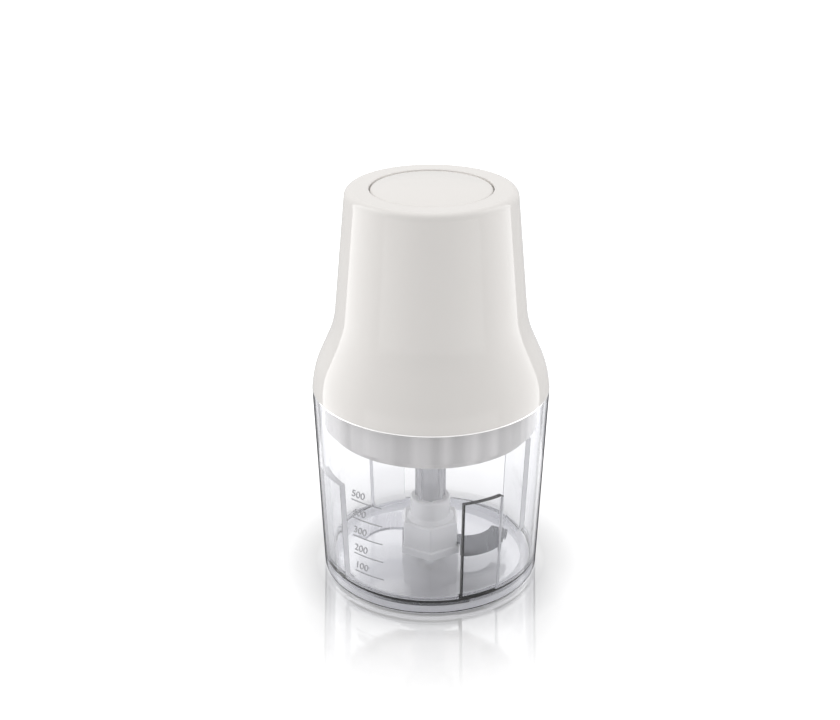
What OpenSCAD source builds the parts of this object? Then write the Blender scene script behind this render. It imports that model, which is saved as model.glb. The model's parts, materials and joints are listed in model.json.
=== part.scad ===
/* [Bowl] */
// Outer radius of the bowl at its rim
rim_r = 61; // [58:0.5:66]
// Outer radius of the bowl at the table
base_r = 57; // [55:0.5:60]
// Height of the bowl's rim above the table
bowl_h = 104.4; // [98:0.2:112]
// Thickness of the bowl's wall
bowl_wall = 2.2; // [1.8:0.1:2.6]
// Height of the inside floor above the table
floor_z = 6.7; // [6:0.1:8]
// Thickness of the bowl's floor
floor_t = 2.2; // [1.8:0.1:2.6]
// Radius of the inside corner between floor and wall
floor_round = 4; // [2:0.5:6]
// How far each inner wall pad stands in from the wall
pad_t = 3; // [2:0.25:4]
// Height of the pads' top edge above the table
pad_top = 63.5; // [56:0.5:72]
// Height of the lowest mark of the volume scale
tick_first = 18.3; // [16:0.1:20]
// Height from one volume mark to the next
tick_pitch = 10.6; // [10:0.1:11]
// Height of the bowl's lower edge above the table
edge_lift = 0.8; // [0.5:0.1:1.4]
// Width of the rubber ring under the bowl
foot_w = 5.2; // [4:0.2:8]

/* [Blade unit] */
// Radius of the steel pin that the blade unit turns on
pin_r = 3; // [2.5:0.1:3.4]
// Thickness of each blade
blade_t = 1.5; // [1.2:0.1:1.8]
// Height of the lower blade above the bowl's floor
low_blade_lift = 5.6; // [5:0.1:6.5]
// Rise from the lower blade to the upper blade
blade_step = 4.2; // [3:0.1:5]
// Corner radius of the six-sided hub block
hub_r = 16.4; // [15:0.2:17]
// Height of the hub block
hub_h = 18.5; // [16:0.5:20]
// Radius of the finger collar over the block
collar_grip_r = 10.7; // [9.5:0.1:11.5]
// Height of the finger collar
collar_grip_h = 12.5; // [11:0.5:15]
// Radius of the drive column
column_r = 8.1; // [7.7:0.1:9]

/* [Motor housing] */
// Height of the housing above the bowl's rim
housing_h = 104.1; // [100:0.1:112]
// Wall thickness of the housing
shell_t = 2.5; // [2:0.1:3]
// Radius of the shoulder's outward curve
shoulder_round = 50; // [44:1:56]
// Lean of the flare from upright, in degrees
flare_deg = 23.8; // [22:0.2:25]
// Height of the straight part of the flare
flare_l = 10; // [8:0.5:12]
// Radius of the waist's inward curve
waist_round = 49; // [44:1:54]
// Lean of the neck from upright, in degrees
neck_deg = 5.4; // [4.8:0.1:6]
// Radius of the rounded top edge
top_round = 4; // [3:0.25:5]
// Height of the cord gland above the bowl's rim
gland_rise = 52; // [50:0.5:56]
// Radius of the cord gland's bore
gland_bore_r = 3.6; // [3:0.1:4]

/* [Base plate] */
// Depth of the collar that hangs inside the bowl
collar_h = 18; // [17:0.5:22]
// Gap between the collar and the bowl's wall
collar_gap = 3.5; // [3:0.1:4.5]
// Height of the splash lip below the collar
lip_h = 4; // [3:0.25:5]
// Thickness of the base plate
plate_t = 3; // [2.5:0.1:3.5]

/* [Push button] */
// Radius of the push button
button_r = 30; // [27:0.5:31]
// How far the button goes down
button_travel = 3; // [2:0.25:3.5]
// Gap between the button and its opening
button_gap = 0.5; // [0.4:0.1:0.8]
// Height of the button's crown over its edge
button_crown = 2.5; // [1.5:0.25:3.5]

/* [Drive] */
// Size of the gear teeth, pitch diameter over number of teeth
gear_module = 0.8; // [0.76:0.02:0.84]
// Width of the gears
gear_w = 8; // [6:0.5:10]
// Radius of the output coupling
coupling_r = 11; // [10:0.25:12]
// Distance across the flats of the drive dog
dog_af = 11; // [10:0.25:11.5]
// Radius of the motor shaft
shaft_r = 4; // [3.5:0.1:4.5]
// Outer radius of the motor's stator
stator_r = 36; // [35:0.25:38]
// Radius of the rotor core
rotor_r = 18.5; // [18:0.25:19.5]
// Height of the stator and rotor stacks
stack_h = 24; // [22:0.5:27]

/* [Hidden] */
$fn = 96;

// Clearances
seat = 0.02;        // a piece fixed in its seat
run = 0.05;         // a shaft that turns in its bush
free = 0.3;         // faces of pieces that move past each other
loose = 0.2;        // a screw in its through hole
sink = 0.5;         // how far solids of one piece run into each other
past = 1;           // how far a cut runs past the face that it opens
hole_spare = 2;     // how much deeper a blind hole is than its screw

// Colours
clear = [0.84, 0.86, 0.9, 0.4];
milky = [0.9, 0.91, 0.93, 0.7];
steel = [0.78, 0.79, 0.8];
screw_steel = [0.7, 0.71, 0.72];
spring_steel = [0.72, 0.73, 0.75];
blade_steel = [0.6, 0.61, 0.63];
core_steel = [0.5, 0.51, 0.53];
bronze = [0.7, 0.58, 0.36];
brass = [0.75, 0.62, 0.34];
copper = [0.72, 0.4, 0.2];
commutator_copper = [0.78, 0.5, 0.28];
cast_metal = [0.63, 0.64, 0.66];
shell_white = [0.92, 0.91, 0.89];
collar_grey = [0.86, 0.86, 0.86];
gear_plastic = [0.75, 0.74, 0.7];
inner_plastic = [0.8, 0.8, 0.79];
rubber = [0.2, 0.2, 0.21];
carbon = [0.16, 0.16, 0.17];
black = [0.15, 0.15, 0.16];
red = [0.85, 0.3, 0.2];

// Bowl
pads = 4;
pad_deg = 22;
pad_turn = 27;
ticks = 5;
tick_deg = 17.5;
tick_turn = -132;
tick_size = 0.6;
edge_wall = 2.7;
floor_under = floor_z - floor_t;
foot_r = base_r - edge_wall;
boss_r = 6.5;
boss_h = 3;

// Blade unit
hub_lift = 0.8;
hub_z = floor_z + hub_lift;
hub_top = hub_z + hub_h;
flange_w = 1.2;
flange_r = hub_r + flange_w;
grip_top = hub_top + collar_grip_h;
hub_bush_wall = 2;
bush_r = pin_r + hub_bush_wall;
bush_z = floor_z + boss_h + hub_lift;
pin_rise = 5.5;
pin_top = grip_top + pin_rise;
low_blade_z = floor_z + low_blade_lift;
up_blade_z = low_blade_z + blade_step;
blade_out_r = 27.3;
blade_out_c = [15.2, 8.2];
blade_in_r = 16.2;
blade_in_c = [19, 16];
blade_root = 15.5;
blade_tang_w = 8;
blade_disc_r = 11;
blade_cut_from = [60, -2];
blade_cut_to = [30, 12];
crown_h = 1.9;
crown_w = 2.4;
column_ribs = 8;
rib_depth = 0.9;
rib_w = 2;
core_r = column_r - rib_depth;

// Motor unit, from the rim up
collar_r = rim_r - bowl_wall - collar_gap;
collar_wall = 2.5;
plate_z = bowl_h - collar_h;
plate_top = plate_z + plate_t;
lip_z = plate_z - lip_h;
lip_inset = 3.3;
lip_r = collar_r - lip_inset;
lip_t = 2.5;
rim_step = 0.2;
skirt_r = rim_r - rim_step;
skirt_deg = 4;
posts = 4;
post_turn = 45;
arms = 2;
rim_flange_t = 2.5;
rim_flange_gap = 0.1;
coupling_drop = 2;
coupling_z = plate_z - coupling_drop;
dog_gap = 0.4;
dog_l = 11.5;
column_gap = 2.4;
column_top = coupling_z - column_gap;
dog_top = column_top + dog_l;
socket_gap = 0.9;
socket_top = dog_top + socket_gap;
bush_wall = 3;
bush_l = 9;
boss_top = plate_top + bush_l;
boss_bore = coupling_r + bush_wall + seat;
boss_wall = 3;
carrier_gap = 0.6;
carrier_z = boss_top + carrier_gap;
carrier_t = 2.9;
carrier_top = carrier_z + carrier_t;
spigot_r = 6;
socket_roof_t = 1.5;
spigot_z = socket_top + socket_roof_t;

// Planetary gear stage
sun_teeth = 15;
planet_teeth = 15;
planets = 3;
ring_teeth = sun_teeth + 2 * planet_teeth;
pressure_deg = 25;
dedendum = 1.25 * gear_module;
backlash = 0.14;
flank_thin = backlash / 4;
flank_steps = 4;
gear_z = carrier_top + free;
gear_top = gear_z + gear_w;
orbit_r = gear_module * (sun_teeth + planet_teeth) / 2;
planet_pin_r = 2;
carrier_rim = 2;
carrier_r = orbit_r + planet_pin_r + carrier_rim;
ring_rim = 4;
ring_r = gear_module * ring_teeth / 2 + dedendum + ring_rim;
ring_z = carrier_top + loose;
well_wall = 3;
well_r = ring_r + well_wall;
well_shelf_w = 3;
well_shelf_r = ring_r - well_shelf_w;
well_floor_t = 3;
pinion_bore = 2.5;
pin_stand = 0.4;

// Motor
bracket_gap = 1;
bracket_z = gear_top + bracket_gap;
bracket_t = 3;
bracket_top = bracket_z + bracket_t;
bracket_post_r = 4;
bracket_screw_r = well_r + bracket_post_r - sink;
bracket_screw_l = 10;
web_t = 2;
screw_head_r = 2.8;
screw_head_h = 2.2;
bearing_wall = 4;
bearing_r = shaft_r + bearing_wall;
bearing_l = 5;
bearing_hub_t = 3;
bearing_hub_r = bearing_r + bearing_hub_t;
end_turn_h = 6.2;
end_turn_gap = 0.8;
stack_z = bracket_z + bearing_l + end_turn_gap + end_turn_h;
stack_top = stack_z + stack_h;
bolt_r = 1.5;
bolt_rise = 2;
bolt_end = bracket_z + bolt_rise;
bolt_head_r = 2.7;
yoke_t = 7;
bolt_circle = stator_r - yoke_t / 2;
post_r = 3.4;
air_gap = 0.6;
pole_r = rotor_r + air_gap;
pole_deg = 48;
coil_deg = 28;
coil_end = 5;
coil_gap = 0.4;
coil_lift = 1.4;
coil_side_deg = 1.5;
slot_lip = 2.2;
end_turn_r = rotor_r - slot_lip;
slots = 12;
slot_w = 2.4;
slot_l = 7;
slot_in_r = end_turn_r - slot_l;
slot_mouth = 1.2;
slot_fit = 0.1;
end_turn_lift = 2;
end_turn_in = shaft_r + end_turn_lift;
commutator_r = 9.5;
commutator_l = 10;
bar_gap = 0.6;
bar_depth = 1.5;
commutator_gap = 0.6;
commutator_z = stack_top + end_turn_h + commutator_gap;
upper_t = 3;
upper_z = commutator_z + commutator_l + bearing_l - upper_t + loose;
upper_top = upper_z + upper_t;
window_rim = 3;
window_in_r = bearing_hub_r + window_rim;
window_deg = 30;
brush = [6, 8, 8];
brush_fit = 0.1;
brush_spring_r = 2.4;
brush_wire = 0.35;
brush_spring_turns = 5;
brush_spring_rings = 10;
brush_wall = 1.4;
brush_rise = 1;
brush_z = commutator_z + brush_rise;
brush_face = commutator_r + free;
brush_stand = 1.6;
holder_y = brush_face + brush_stand;
holder_l = 17;
bolt_head_h = 2;
fan_gap = 0.5;
fan_z = upper_top + bolt_head_h + fan_gap;
fan_h = 5;
fan_r = 27;
fan_blades = 9;
fan_blade_t = 1.2;
fan_hub_wall = 4;
fan_hub_r = shaft_r + fan_hub_wall;
shaft_drop = 0.4;
shaft_top = fan_z + fan_h + fan_gap;

// Switch and button
top_z = bowl_h + housing_h;
top_under = top_z - shell_t;
button_drop = 0.5;
button_edge = top_z - button_drop;
button_t = 3;
button_under = button_edge - button_t;
button_bevel = 1;
button_wall = 2;
catch_w = 2.5;
catch_r = button_r + catch_w;
catch_t = 1.8;
stem_r = 4;
stem_l = 3;
plunger_r = 2.5;
plunger_l = 7;
plunger_top = button_under - stem_l - run;
switch_size = [20, 12, 8];
switch_top = plunger_top - button_travel - loose;
switch_z = switch_top - switch_size[2];
switch_plate_t = 2.5;
switch_plate_z = switch_z - switch_plate_t;
switch_screw_l = 9;
arm_w = 10;
spring_r = 14.5;
spring_wire = 0.7;
spring_turns = 6;
spring_rings = 16;
spring_rim = 4.5;
switch_plate_r = spring_r + spring_rim;

// Housing outline
least_round = 0.5;
shoulder_c = [skirt_r, bowl_h] - shoulder_round * [cos(skirt_deg), sin(skirt_deg)];
flare_start = shoulder_c + shoulder_round * [cos(flare_deg), sin(flare_deg)];
flare_end = flare_start + flare_l * [-tan(flare_deg), 1];
waist_c = flare_end + waist_round * [cos(flare_deg), sin(flare_deg)];
neck_start = waist_c - waist_round * [cos(neck_deg), sin(neck_deg)];
arm_r = (catch_r + neck_r(top_under, shell_t)) / 2;
arm_boss_r = 3.2;
arm_rim = 0.8;
arm_end_r = arm_boss_r + arm_rim;
post_inset = 7.8;
post_circle = collar_r - post_inset;
housing_post_r = 3.6;
housing_screw_l = 16;
housing_head_r = 3;
gland_z = bowl_h + gland_rise;
gland_wall = 2.4;
gland_neck_r = gland_bore_r + gland_wall;
gland_flange_w = 2;
gland_flange_r = gland_neck_r + gland_flange_w;
gland_flange_t = 2.2;
gland_nut_w = 1.4;
gland_nut_r = gland_neck_r + gland_nut_w;
gland_pad_w = 1;
gland_pad_r = gland_flange_r + gland_pad_w;
gland_pad_t = 6;
gland_stand = 1.2;
gland_face = neck_r(gland_z, 0) + gland_stand;
vents = 5;
vent_deg = 44;
vent_h = 1.8;
vent_pitch = 4;
vent_rise = 16;
vent_z = gland_z + vent_rise;

function arc(c, r, from, to, steps = 8) =
  [for (i = [0:steps]) let (a = from + (to - from) * i / steps) c + r * [cos(a), sin(a)]];

function bowl_r(z) = base_r + (rim_r - base_r) * z / bowl_h;

function bowl_in(z) = bowl_r(z) - bowl_wall;

// Radius of the shoulder at height z, set inward by d
function shoulder_r(z, d) = shoulder_c[0] + sqrt(pow(shoulder_round - d, 2) - pow(z - shoulder_c[1], 2));

// Radius of the neck at height z, set inward by d
function neck_r(z, d) = neck_start[0] - (z - neck_start[1]) * tan(neck_deg) - d / cos(neck_deg);

// Housing outline from the rim to the top face, set inward by d
function housing_line(d) =
  let (
    rim_deg = asin(shoulder_round * sin(skirt_deg) / (shoulder_round - d)),
    edge_r = max(top_round - d, least_round),
    edge_z = top_z - d - edge_r,
    edge_c = [neck_r(edge_z, d) - edge_r / cos(neck_deg), edge_z]
  )
  concat(
    arc(shoulder_c, shoulder_round - d, rim_deg, flare_deg),
    arc(waist_c, waist_round + d, 180 + flare_deg, 180 + neck_deg),
    arc(edge_c, edge_r, neck_deg, 90, 6)
  );

function reversed(list) = [for (i = [len(list) - 1:-1:0]) list[i]];

// Involute gear outline: a tooth lies on +X, and thin takes material off each flank
function involute(deg) = tan(deg) * 180 / PI - deg;

function gear_outline(teeth, tip_r, root_r, thin) =
  let (
    pitch_r = gear_module * teeth / 2,
    base = pitch_r * cos(pressure_deg),
    half = 90 / teeth - thin / pitch_r * 180 / PI + involute(pressure_deg),
    foot = max(base, root_r),
    rise = (tip_r - foot) / flank_steps,
    radii = concat(root_r < base ? [root_r] : [], [for (i = [0:flank_steps]) foot + i * rise]),
    lean = [for (r = radii) half - involute(acos(min(1, base / r)))],
    flank = [for (i = [0:len(radii) - 1]) [radii[i], lean[i]]],
    tooth = concat([for (p = flank) [p[0], -p[1]]], reversed(flank))
  )
  [for (t = [0:teeth - 1], p = tooth) p[0] * [cos(p[1] + 360 * t / teeth), sin(p[1] + 360 * t / teeth)]];

// Coil spring of one unbroken wire, standing on z = 0
function helix_point(r, h, turns, t) = [r * cos(360 * turns * t), r * sin(360 * turns * t), h * t];

module helix(r, wire, h, turns, rings, sides = 6) {
  steps = turns * rings;
  points = [
    for (i = [0:steps], k = [0:sides - 1])
      let (a = 360 * k / sides)
      helix_point(r + wire * cos(a), h, turns, i / steps) + [0, 0, wire * sin(a)]
  ];
  last = steps * sides;
  walls = [
    for (i = [0:steps - 1], k = [0:sides - 1], half = [0, 1])
      let (
        a = i * sides + k,
        b = i * sides + (k + 1) % sides
      )
      half == 0 ? [a, a + sides, b] : [b, a + sides, b + sides]
  ];
  start = [for (k = [1:sides - 2]) [0, k, k + 1]];
  end = [for (k = [1:sides - 2]) [last, last + k + 1, last + k]];
  polyhedron(points, concat(walls, start, end), convexity = 10);
}

module ring(r_out, r_in, h) {
  difference() {
    cylinder(r = r_out, h = h);
    translate([0, 0, -past]) cylinder(r = r_in, h = h + 2 * past);
  }
}

module at_circle(r, count, turn = 0) {
  for (k = [0:count - 1]) rotate([0, 0, turn + 360 * k / count]) translate([r, 0, 0]) children();
}

module sector(r_in, r_out, h, deg) {
  rotate([0, 0, -deg]) rotate_extrude(angle = 2 * deg) translate([r_in, 0]) square([r_out - r_in, h]);
}

// Pan-head screw, its head on z = 0 and its shank going down
module screw(shank_r, length, head_r, head_h) {
  cylinder(r = head_r, h = head_h);
  translate([0, 0, -length]) cylinder(r = shank_r, h = length + sink);
}

module bowl() {
  corner = [bowl_in(floor_z + floor_round) - floor_round, floor_z + floor_round];
  color(clear) union() {
    rotate_extrude() polygon(concat(
      [
        [pin_r + seat, floor_under],
        [foot_r, floor_under],
        [foot_r, edge_lift],
        [bowl_r(edge_lift), edge_lift],
        [rim_r, bowl_h],
        [rim_r - bowl_wall, bowl_h]
      ],
      arc(corner, floor_round, 0, -90, 6),
      [
        [boss_r, floor_z],
        [boss_r, floor_z + boss_h],
        [pin_r + seat, floor_z + boss_h]
      ]
    ));
    for (k = [0:pads - 1]) rotate([0, 0, pad_turn + 360 * k / pads]) bowl_pad();
    for (k = [0:ticks - 1]) rotate([0, 0, tick_turn]) bowl_tick(tick_first + k * tick_pitch);
  }
}

// Flat pad inside the wall, from the floor up, centred on +X
module bowl_pad() {
  sunk = bowl_wall / 3;
  foot = floor_z - floor_t / 3;
  rotate([0, 0, -pad_deg / 2]) rotate_extrude(angle = pad_deg) polygon([
    [bowl_in(foot) - pad_t, foot],
    [bowl_in(foot) + sunk, foot],
    [bowl_in(pad_top) + sunk, pad_top],
    [bowl_in(pad_top) - pad_t, pad_top]
  ]);
}

// Raised volume mark on the outside of the wall
module bowl_tick(z) {
  rotate_extrude(angle = tick_deg) translate([bowl_r(z) - tick_size / 2, z - tick_size / 2])
    square(tick_size);
}

module foot_ring() {
  color(milky) ring(foot_r - seat, foot_r - foot_w, floor_under);
}

module bowl_pin() {
  color(steel) translate([0, 0, floor_under]) cylinder(r = pin_r, h = pin_top - floor_under);
}

module hex(r, h) {
  rotate([0, 0, 30]) cylinder(r = r, h = h, $fn = 6);
}

module blade_hub() {
  bush_top = pin_top + free;
  color(milky) difference() {
    union() {
      translate([0, 0, hub_z]) hex(flange_r, low_blade_z - free - hub_z);
      translate([0, 0, hub_z + sink]) hex(hub_r, hub_h - sink);
      rotate_extrude() polygon([
        [0, hub_top - sink],
        [collar_grip_r + crown_w, hub_top - sink],
        [collar_grip_r, hub_top + crown_h],
        [collar_grip_r, grip_top],
        [0, grip_top]
      ]);
      translate([0, 0, grip_top - sink]) linear_extrude(column_top - grip_top + sink) column_outline();
      translate([0, 0, column_top - sink]) hex(dog_af / sqrt(3), dog_l + sink);
    }
    translate([0, 0, hub_z - past]) cylinder(r = boss_r + hub_lift, h = bush_z - hub_z + past);
    translate([0, 0, hub_z - past]) cylinder(r = bush_r + seat, h = bush_top - hub_z + past);
    lower_blade();
    upper_blade();
  }
}

module column_outline() {
  circle(core_r);
  for (k = [0:column_ribs - 1]) rotate(360 * k / column_ribs)
    translate([core_r / 2, -rib_w / 2]) square([column_r - core_r / 2, rib_w]);
}

module hub_bush() {
  color(bronze) translate([0, 0, bush_z]) ring(bush_r, pin_r + run, pin_top - bush_z);
}

// Sickle blade that reaches out along +X and hooks round towards +Y, on a tang from the hub
module blade(z) {
  translate([0, 0, z]) linear_extrude(blade_t) difference() {
    union() {
      intersection() {
        difference() {
          translate(blade_out_c) circle(blade_out_r);
          translate(blade_in_c) circle(blade_in_r);
        }
        polygon([
          [blade_root, -blade_cut_from[0]],
          [blade_cut_from[0], -blade_cut_from[0]],
          blade_cut_from,
          blade_cut_to,
          [blade_root, blade_cut_to[1]]
        ]);
      }
      translate([0, -blade_tang_w]) square([blade_root + sink, blade_tang_w]);
      circle(blade_disc_r);
    }
    circle(bush_r + seat);
  }
}

module lower_blade() {
  color(blade_steel) blade(low_blade_z);
}

module upper_blade() {
  color(blade_steel) rotate([0, 0, 180]) blade(up_blade_z);
}

module motor_housing() {
  line_in = housing_line(shell_t);
  opening_r = button_r + button_gap;
  color(shell_white) difference() {
    union() {
      rotate_extrude() polygon(concat(
        housing_line(0),
        [[opening_r, top_z], [opening_r, top_under]],
        reversed(line_in)
      ));
      intersection() {
        at_circle(post_circle, posts, post_turn) translate([0, 0, plate_top])
          cylinder(r = housing_post_r, h = neck_start[1] - plate_top);
        rotate_extrude()
          polygon(concat([[0, plate_top], [skirt_r, plate_top]], housing_line(shell_t / 2), [[0, top_z]]));
      }
      at_circle(arm_r, arms) translate([0, 0, switch_z])
        cylinder(r = arm_boss_r, h = top_under - switch_z + sink);
      translate([0, gland_face - gland_pad_t, gland_z]) rotate([-90, 0, 0])
        cylinder(r = gland_pad_r, h = gland_pad_t);
    }
    at_circle(post_circle, posts, post_turn) translate([0, 0, plate_top - past])
      cylinder(r = bolt_r + run, h = housing_screw_l + past);
    at_circle(arm_r, arms) translate([0, 0, switch_z - past])
      cylinder(r = bolt_r + run, h = switch_screw_l + hole_spare + past);
    translate([0, gland_face - gland_pad_t - past, gland_z]) rotate([-90, 0, 0])
      cylinder(r = gland_neck_r + seat, h = gland_pad_t + 2 * past);
    for (k = [0:vents - 1]) rotate([0, 0, 90]) translate([0, 0, vent_z + k * vent_pitch])
      sector(stator_r, rim_r, vent_h, vent_deg / 2);
  }
}

module base_plate() {
  rim_flange_r = shoulder_r(bowl_h + rim_flange_t, shell_t) - rim_flange_gap;
  well_under = boss_top - well_floor_t;
  web_top = boss_top - well_floor_t / 2;
  plate_mid = plate_z + plate_t / 2;
  screw_hole_l = bracket_screw_l + hole_spare;
  color(collar_grey) difference() {
    union() {
      rotate_extrude() polygon([
        [boss_bore, plate_z],
        [lip_r - lip_t, plate_z],
        [lip_r - lip_t, lip_z],
        [lip_r, lip_z],
        [lip_r, plate_z],
        [collar_r, plate_z],
        [collar_r, bowl_h],
        [rim_flange_r, bowl_h],
        [rim_flange_r, bowl_h + rim_flange_t],
        [collar_r - collar_wall, bowl_h + rim_flange_t],
        [collar_r - collar_wall, plate_top],
        [boss_bore + boss_wall, plate_top],
        [boss_bore + boss_wall, well_under],
        [well_r, well_under],
        [well_r, bracket_z],
        [ring_r + seat, bracket_z],
        [ring_r + seat, ring_z],
        [well_shelf_r, ring_z],
        [well_shelf_r, boss_top],
        [boss_bore, boss_top]
      ]);
      at_circle(bracket_screw_r, posts) translate([0, 0, plate_mid])
        cylinder(r = bracket_post_r, h = bracket_z - plate_mid);
      at_circle(boss_bore + boss_wall / 2, posts) translate([0, -web_t / 2, plate_mid])
        cube([bracket_screw_r - boss_bore - boss_wall / 2, web_t, web_top - plate_mid]);
    }
    at_circle(bracket_screw_r, posts) translate([0, 0, bracket_z - screw_hole_l])
      cylinder(r = bolt_r, h = screw_hole_l + past);
    at_circle(post_circle, posts, post_turn) translate([0, 0, plate_z - past])
      cylinder(r = bolt_r + loose, h = plate_t + 2 * past);
    at_circle(post_circle, posts, post_turn) translate([0, 0, plate_z - past])
      cylinder(r = housing_head_r + loose, h = plate_t / 2 + past);
  }
}

module cord_gland() {
  color(shell_white) translate([0, gland_face, gland_z]) rotate([-90, 0, 0]) difference() {
    union() {
      cylinder(r = gland_flange_r, h = gland_flange_t);
      translate([0, 0, -gland_pad_t - sink]) cylinder(r = gland_neck_r, h = gland_pad_t + 2 * sink);
      translate([0, 0, -gland_pad_t - gland_flange_t]) cylinder(r = gland_nut_r, h = gland_flange_t);
    }
    translate([0, 0, -gland_pad_t - gland_flange_t - past])
      cylinder(r = gland_bore_r, h = gland_pad_t + 2 * gland_flange_t + 2 * past);
  }
}

module housing_screws() {
  head_h = plate_t / 2 - loose;
  color(screw_steel) at_circle(post_circle, posts, post_turn) translate([0, 0, plate_z + plate_t / 2])
    rotate([180, 0, 0]) screw(bolt_r, housing_screw_l, housing_head_r, head_h);
}

module shaft_seal() {
  color(rubber) translate([0, 0, plate_z]) ring(boss_bore - seat, coupling_r + free, plate_t);
}

module output_bush() {
  color(bronze) translate([0, 0, plate_top]) ring(boss_bore - seat, coupling_r + run, bush_l);
}

module ring_gear() {
  pitch_r = gear_module * ring_teeth / 2;
  outline = gear_outline(ring_teeth, pitch_r + dedendum, pitch_r - gear_module, -flank_thin);
  color(gear_plastic) translate([0, 0, ring_z]) difference() {
    cylinder(r = ring_r, h = bracket_z - ring_z);
    translate([0, 0, -past]) linear_extrude(bracket_z - ring_z + 2 * past) polygon(outline);
  }
}

module lower_bracket() {
  color(cast_metal) difference() {
    union() {
      translate([0, 0, bracket_z]) cylinder(r = stator_r, h = bracket_t);
      translate([0, 0, bracket_z]) cylinder(r = bearing_hub_r, h = bearing_l);
      at_circle(bolt_circle, posts, post_turn) translate([0, 0, bracket_z])
        cylinder(r = post_r, h = stack_z - bracket_z);
    }
    translate([0, 0, bracket_z - past]) cylinder(r = bearing_r + seat, h = bearing_l + 2 * past);
    at_circle(bolt_circle, posts, post_turn) translate([0, 0, bolt_end - past])
      cylinder(r = bolt_r, h = stack_z - bolt_end + 2 * past);
    at_circle(bracket_screw_r, posts) translate([0, 0, bracket_z - past])
      cylinder(r = bolt_r + loose, h = bracket_t + 2 * past);
  }
}

module bracket_screws() {
  color(screw_steel) at_circle(bracket_screw_r, posts) translate([0, 0, bracket_top])
    screw(bolt_r - seat, bracket_t + bracket_screw_l, screw_head_r, screw_head_h);
}

module bearing(z) {
  color(bronze) translate([0, 0, z]) ring(bearing_r, shaft_r + run, bearing_l);
}

module lower_bearing() {
  bearing(bracket_z);
}

module upper_bearing() {
  bearing(upper_top - bearing_l);
}

module stator_core() {
  color(core_steel) translate([0, 0, stack_z]) linear_extrude(stack_h) difference() {
    circle(stator_r);
    circle(pole_r);
    difference() {
      circle(stator_r - yoke_t);
      for (side = [0, 180]) rotate(side) wedge(pole_deg);
    }
    at_circle(bolt_circle, posts, post_turn) circle(bolt_r + slot_fit);
  }
}

// Flat wedge from the axis out past the stator, deg to each side of +X
module wedge(deg) {
  far = 2 * stator_r;
  polygon([[0, 0], far * [cos(deg), -sin(deg)], far * [cos(deg), sin(deg)]]);
}

module field_coils() {
  r_out = stator_r - yoke_t - coil_gap;
  r_in = pole_r + coil_lift;
  side_deg = pole_deg + coil_side_deg;
  color(copper) for (side = [0, 180]) rotate([0, 0, side]) difference() {
    translate([0, 0, stack_z - coil_end])
      sector(r_in, r_out, stack_h + 2 * coil_end, side_deg + coil_deg);
    translate([0, 0, stack_z - coil_gap])
      sector(r_in - past, r_out + past, stack_h + 2 * coil_gap, side_deg);
  }
}

module upper_bracket() {
  color(cast_metal) difference() {
    union() {
      translate([0, 0, upper_z]) cylinder(r = stator_r, h = upper_t);
      translate([0, 0, upper_top - bearing_l]) cylinder(r = bearing_hub_r, h = bearing_l);
      at_circle(bolt_circle, posts, post_turn) translate([0, 0, stack_top])
        cylinder(r = post_r, h = upper_z - stack_top + sink);
    }
    translate([0, 0, upper_top - bearing_l - past])
      cylinder(r = bearing_r + seat, h = bearing_l + 2 * past);
    at_circle(bolt_circle, posts, post_turn) translate([0, 0, stack_top - past])
      cylinder(r = bolt_r + slot_fit, h = upper_top - stack_top + 2 * past);
    for (side = [0, 180]) rotate([0, 0, side]) translate([0, 0, upper_z - past])
      sector(window_in_r, stator_r - yoke_t, upper_t + 2 * past, window_deg);
  }
}

module through_bolts() {
  color(screw_steel) at_circle(bolt_circle, posts, post_turn) translate([0, 0, upper_top])
    screw(bolt_r - seat, upper_top - bolt_end, bolt_head_r, bolt_head_h);
}

module at_brushes() {
  for (side = [0, 180]) rotate([0, 0, side]) translate([0, 0, brush_z]) children();
}

module brush_holders() {
  wide = brush[0] + 2 * brush_wall + 2 * brush_fit;
  color(brass) at_brushes() difference() {
    translate([-wide / 2, holder_y, -brush_wall]) cube([wide, holder_l, upper_z - brush_z + brush_wall]);
    translate([-brush[0] / 2 - brush_fit, holder_y - past, 0])
      cube([brush[0] + 2 * brush_fit, holder_l + past - brush_wall, brush[2] + 2 * brush_fit]);
  }
}

module carbon_brushes() {
  color(carbon) at_brushes() translate([-brush[0] / 2, brush_face, 0])
    cube(brush);
}

module brush_springs() {
  from = brush_face + brush[1] + brush_wire;
  to = holder_y + holder_l - brush_wall - brush_wire;
  color(spring_steel) at_brushes() translate([0, from, brush[2] / 2])
    rotate([-90, 0, 0]) helix(brush_spring_r, brush_wire, to - from, brush_spring_turns, brush_spring_rings);
}

module switch_bracket() {
  color(inner_plastic) translate([0, 0, switch_plate_z]) difference() {
    union() {
      cylinder(r = switch_plate_r, h = switch_plate_t);
      translate([-arm_r, -arm_w / 2, 0]) cube([2 * arm_r, arm_w, switch_plate_t]);
      at_circle(arm_r, arms) cylinder(r = arm_end_r, h = switch_plate_t);
    }
    at_circle(arm_r, arms) translate([0, 0, -past])
      cylinder(r = bolt_r + loose, h = switch_plate_t + 2 * past);
  }
}

module switch_screws() {
  color(screw_steel) at_circle(arm_r, arms) translate([0, 0, switch_plate_z])
    rotate([180, 0, 0]) screw(bolt_r, switch_plate_t + switch_screw_l, screw_head_r, screw_head_h);
}

module switch_body() {
  color(black) difference() {
    translate([-switch_size[0] / 2, -switch_size[1] / 2, switch_z]) cube(switch_size);
    translate([0, 0, plunger_top - plunger_l - button_travel - free])
      cylinder(r = plunger_r + run, h = plunger_l + button_travel + past);
  }
}

module button_spring() {
  low = switch_z + spring_wire;
  high = button_under - spring_wire;
  color(spring_steel) translate([0, 0, low])
    helix(spring_r, spring_wire, high - low, spring_turns, spring_rings);
}

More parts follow.
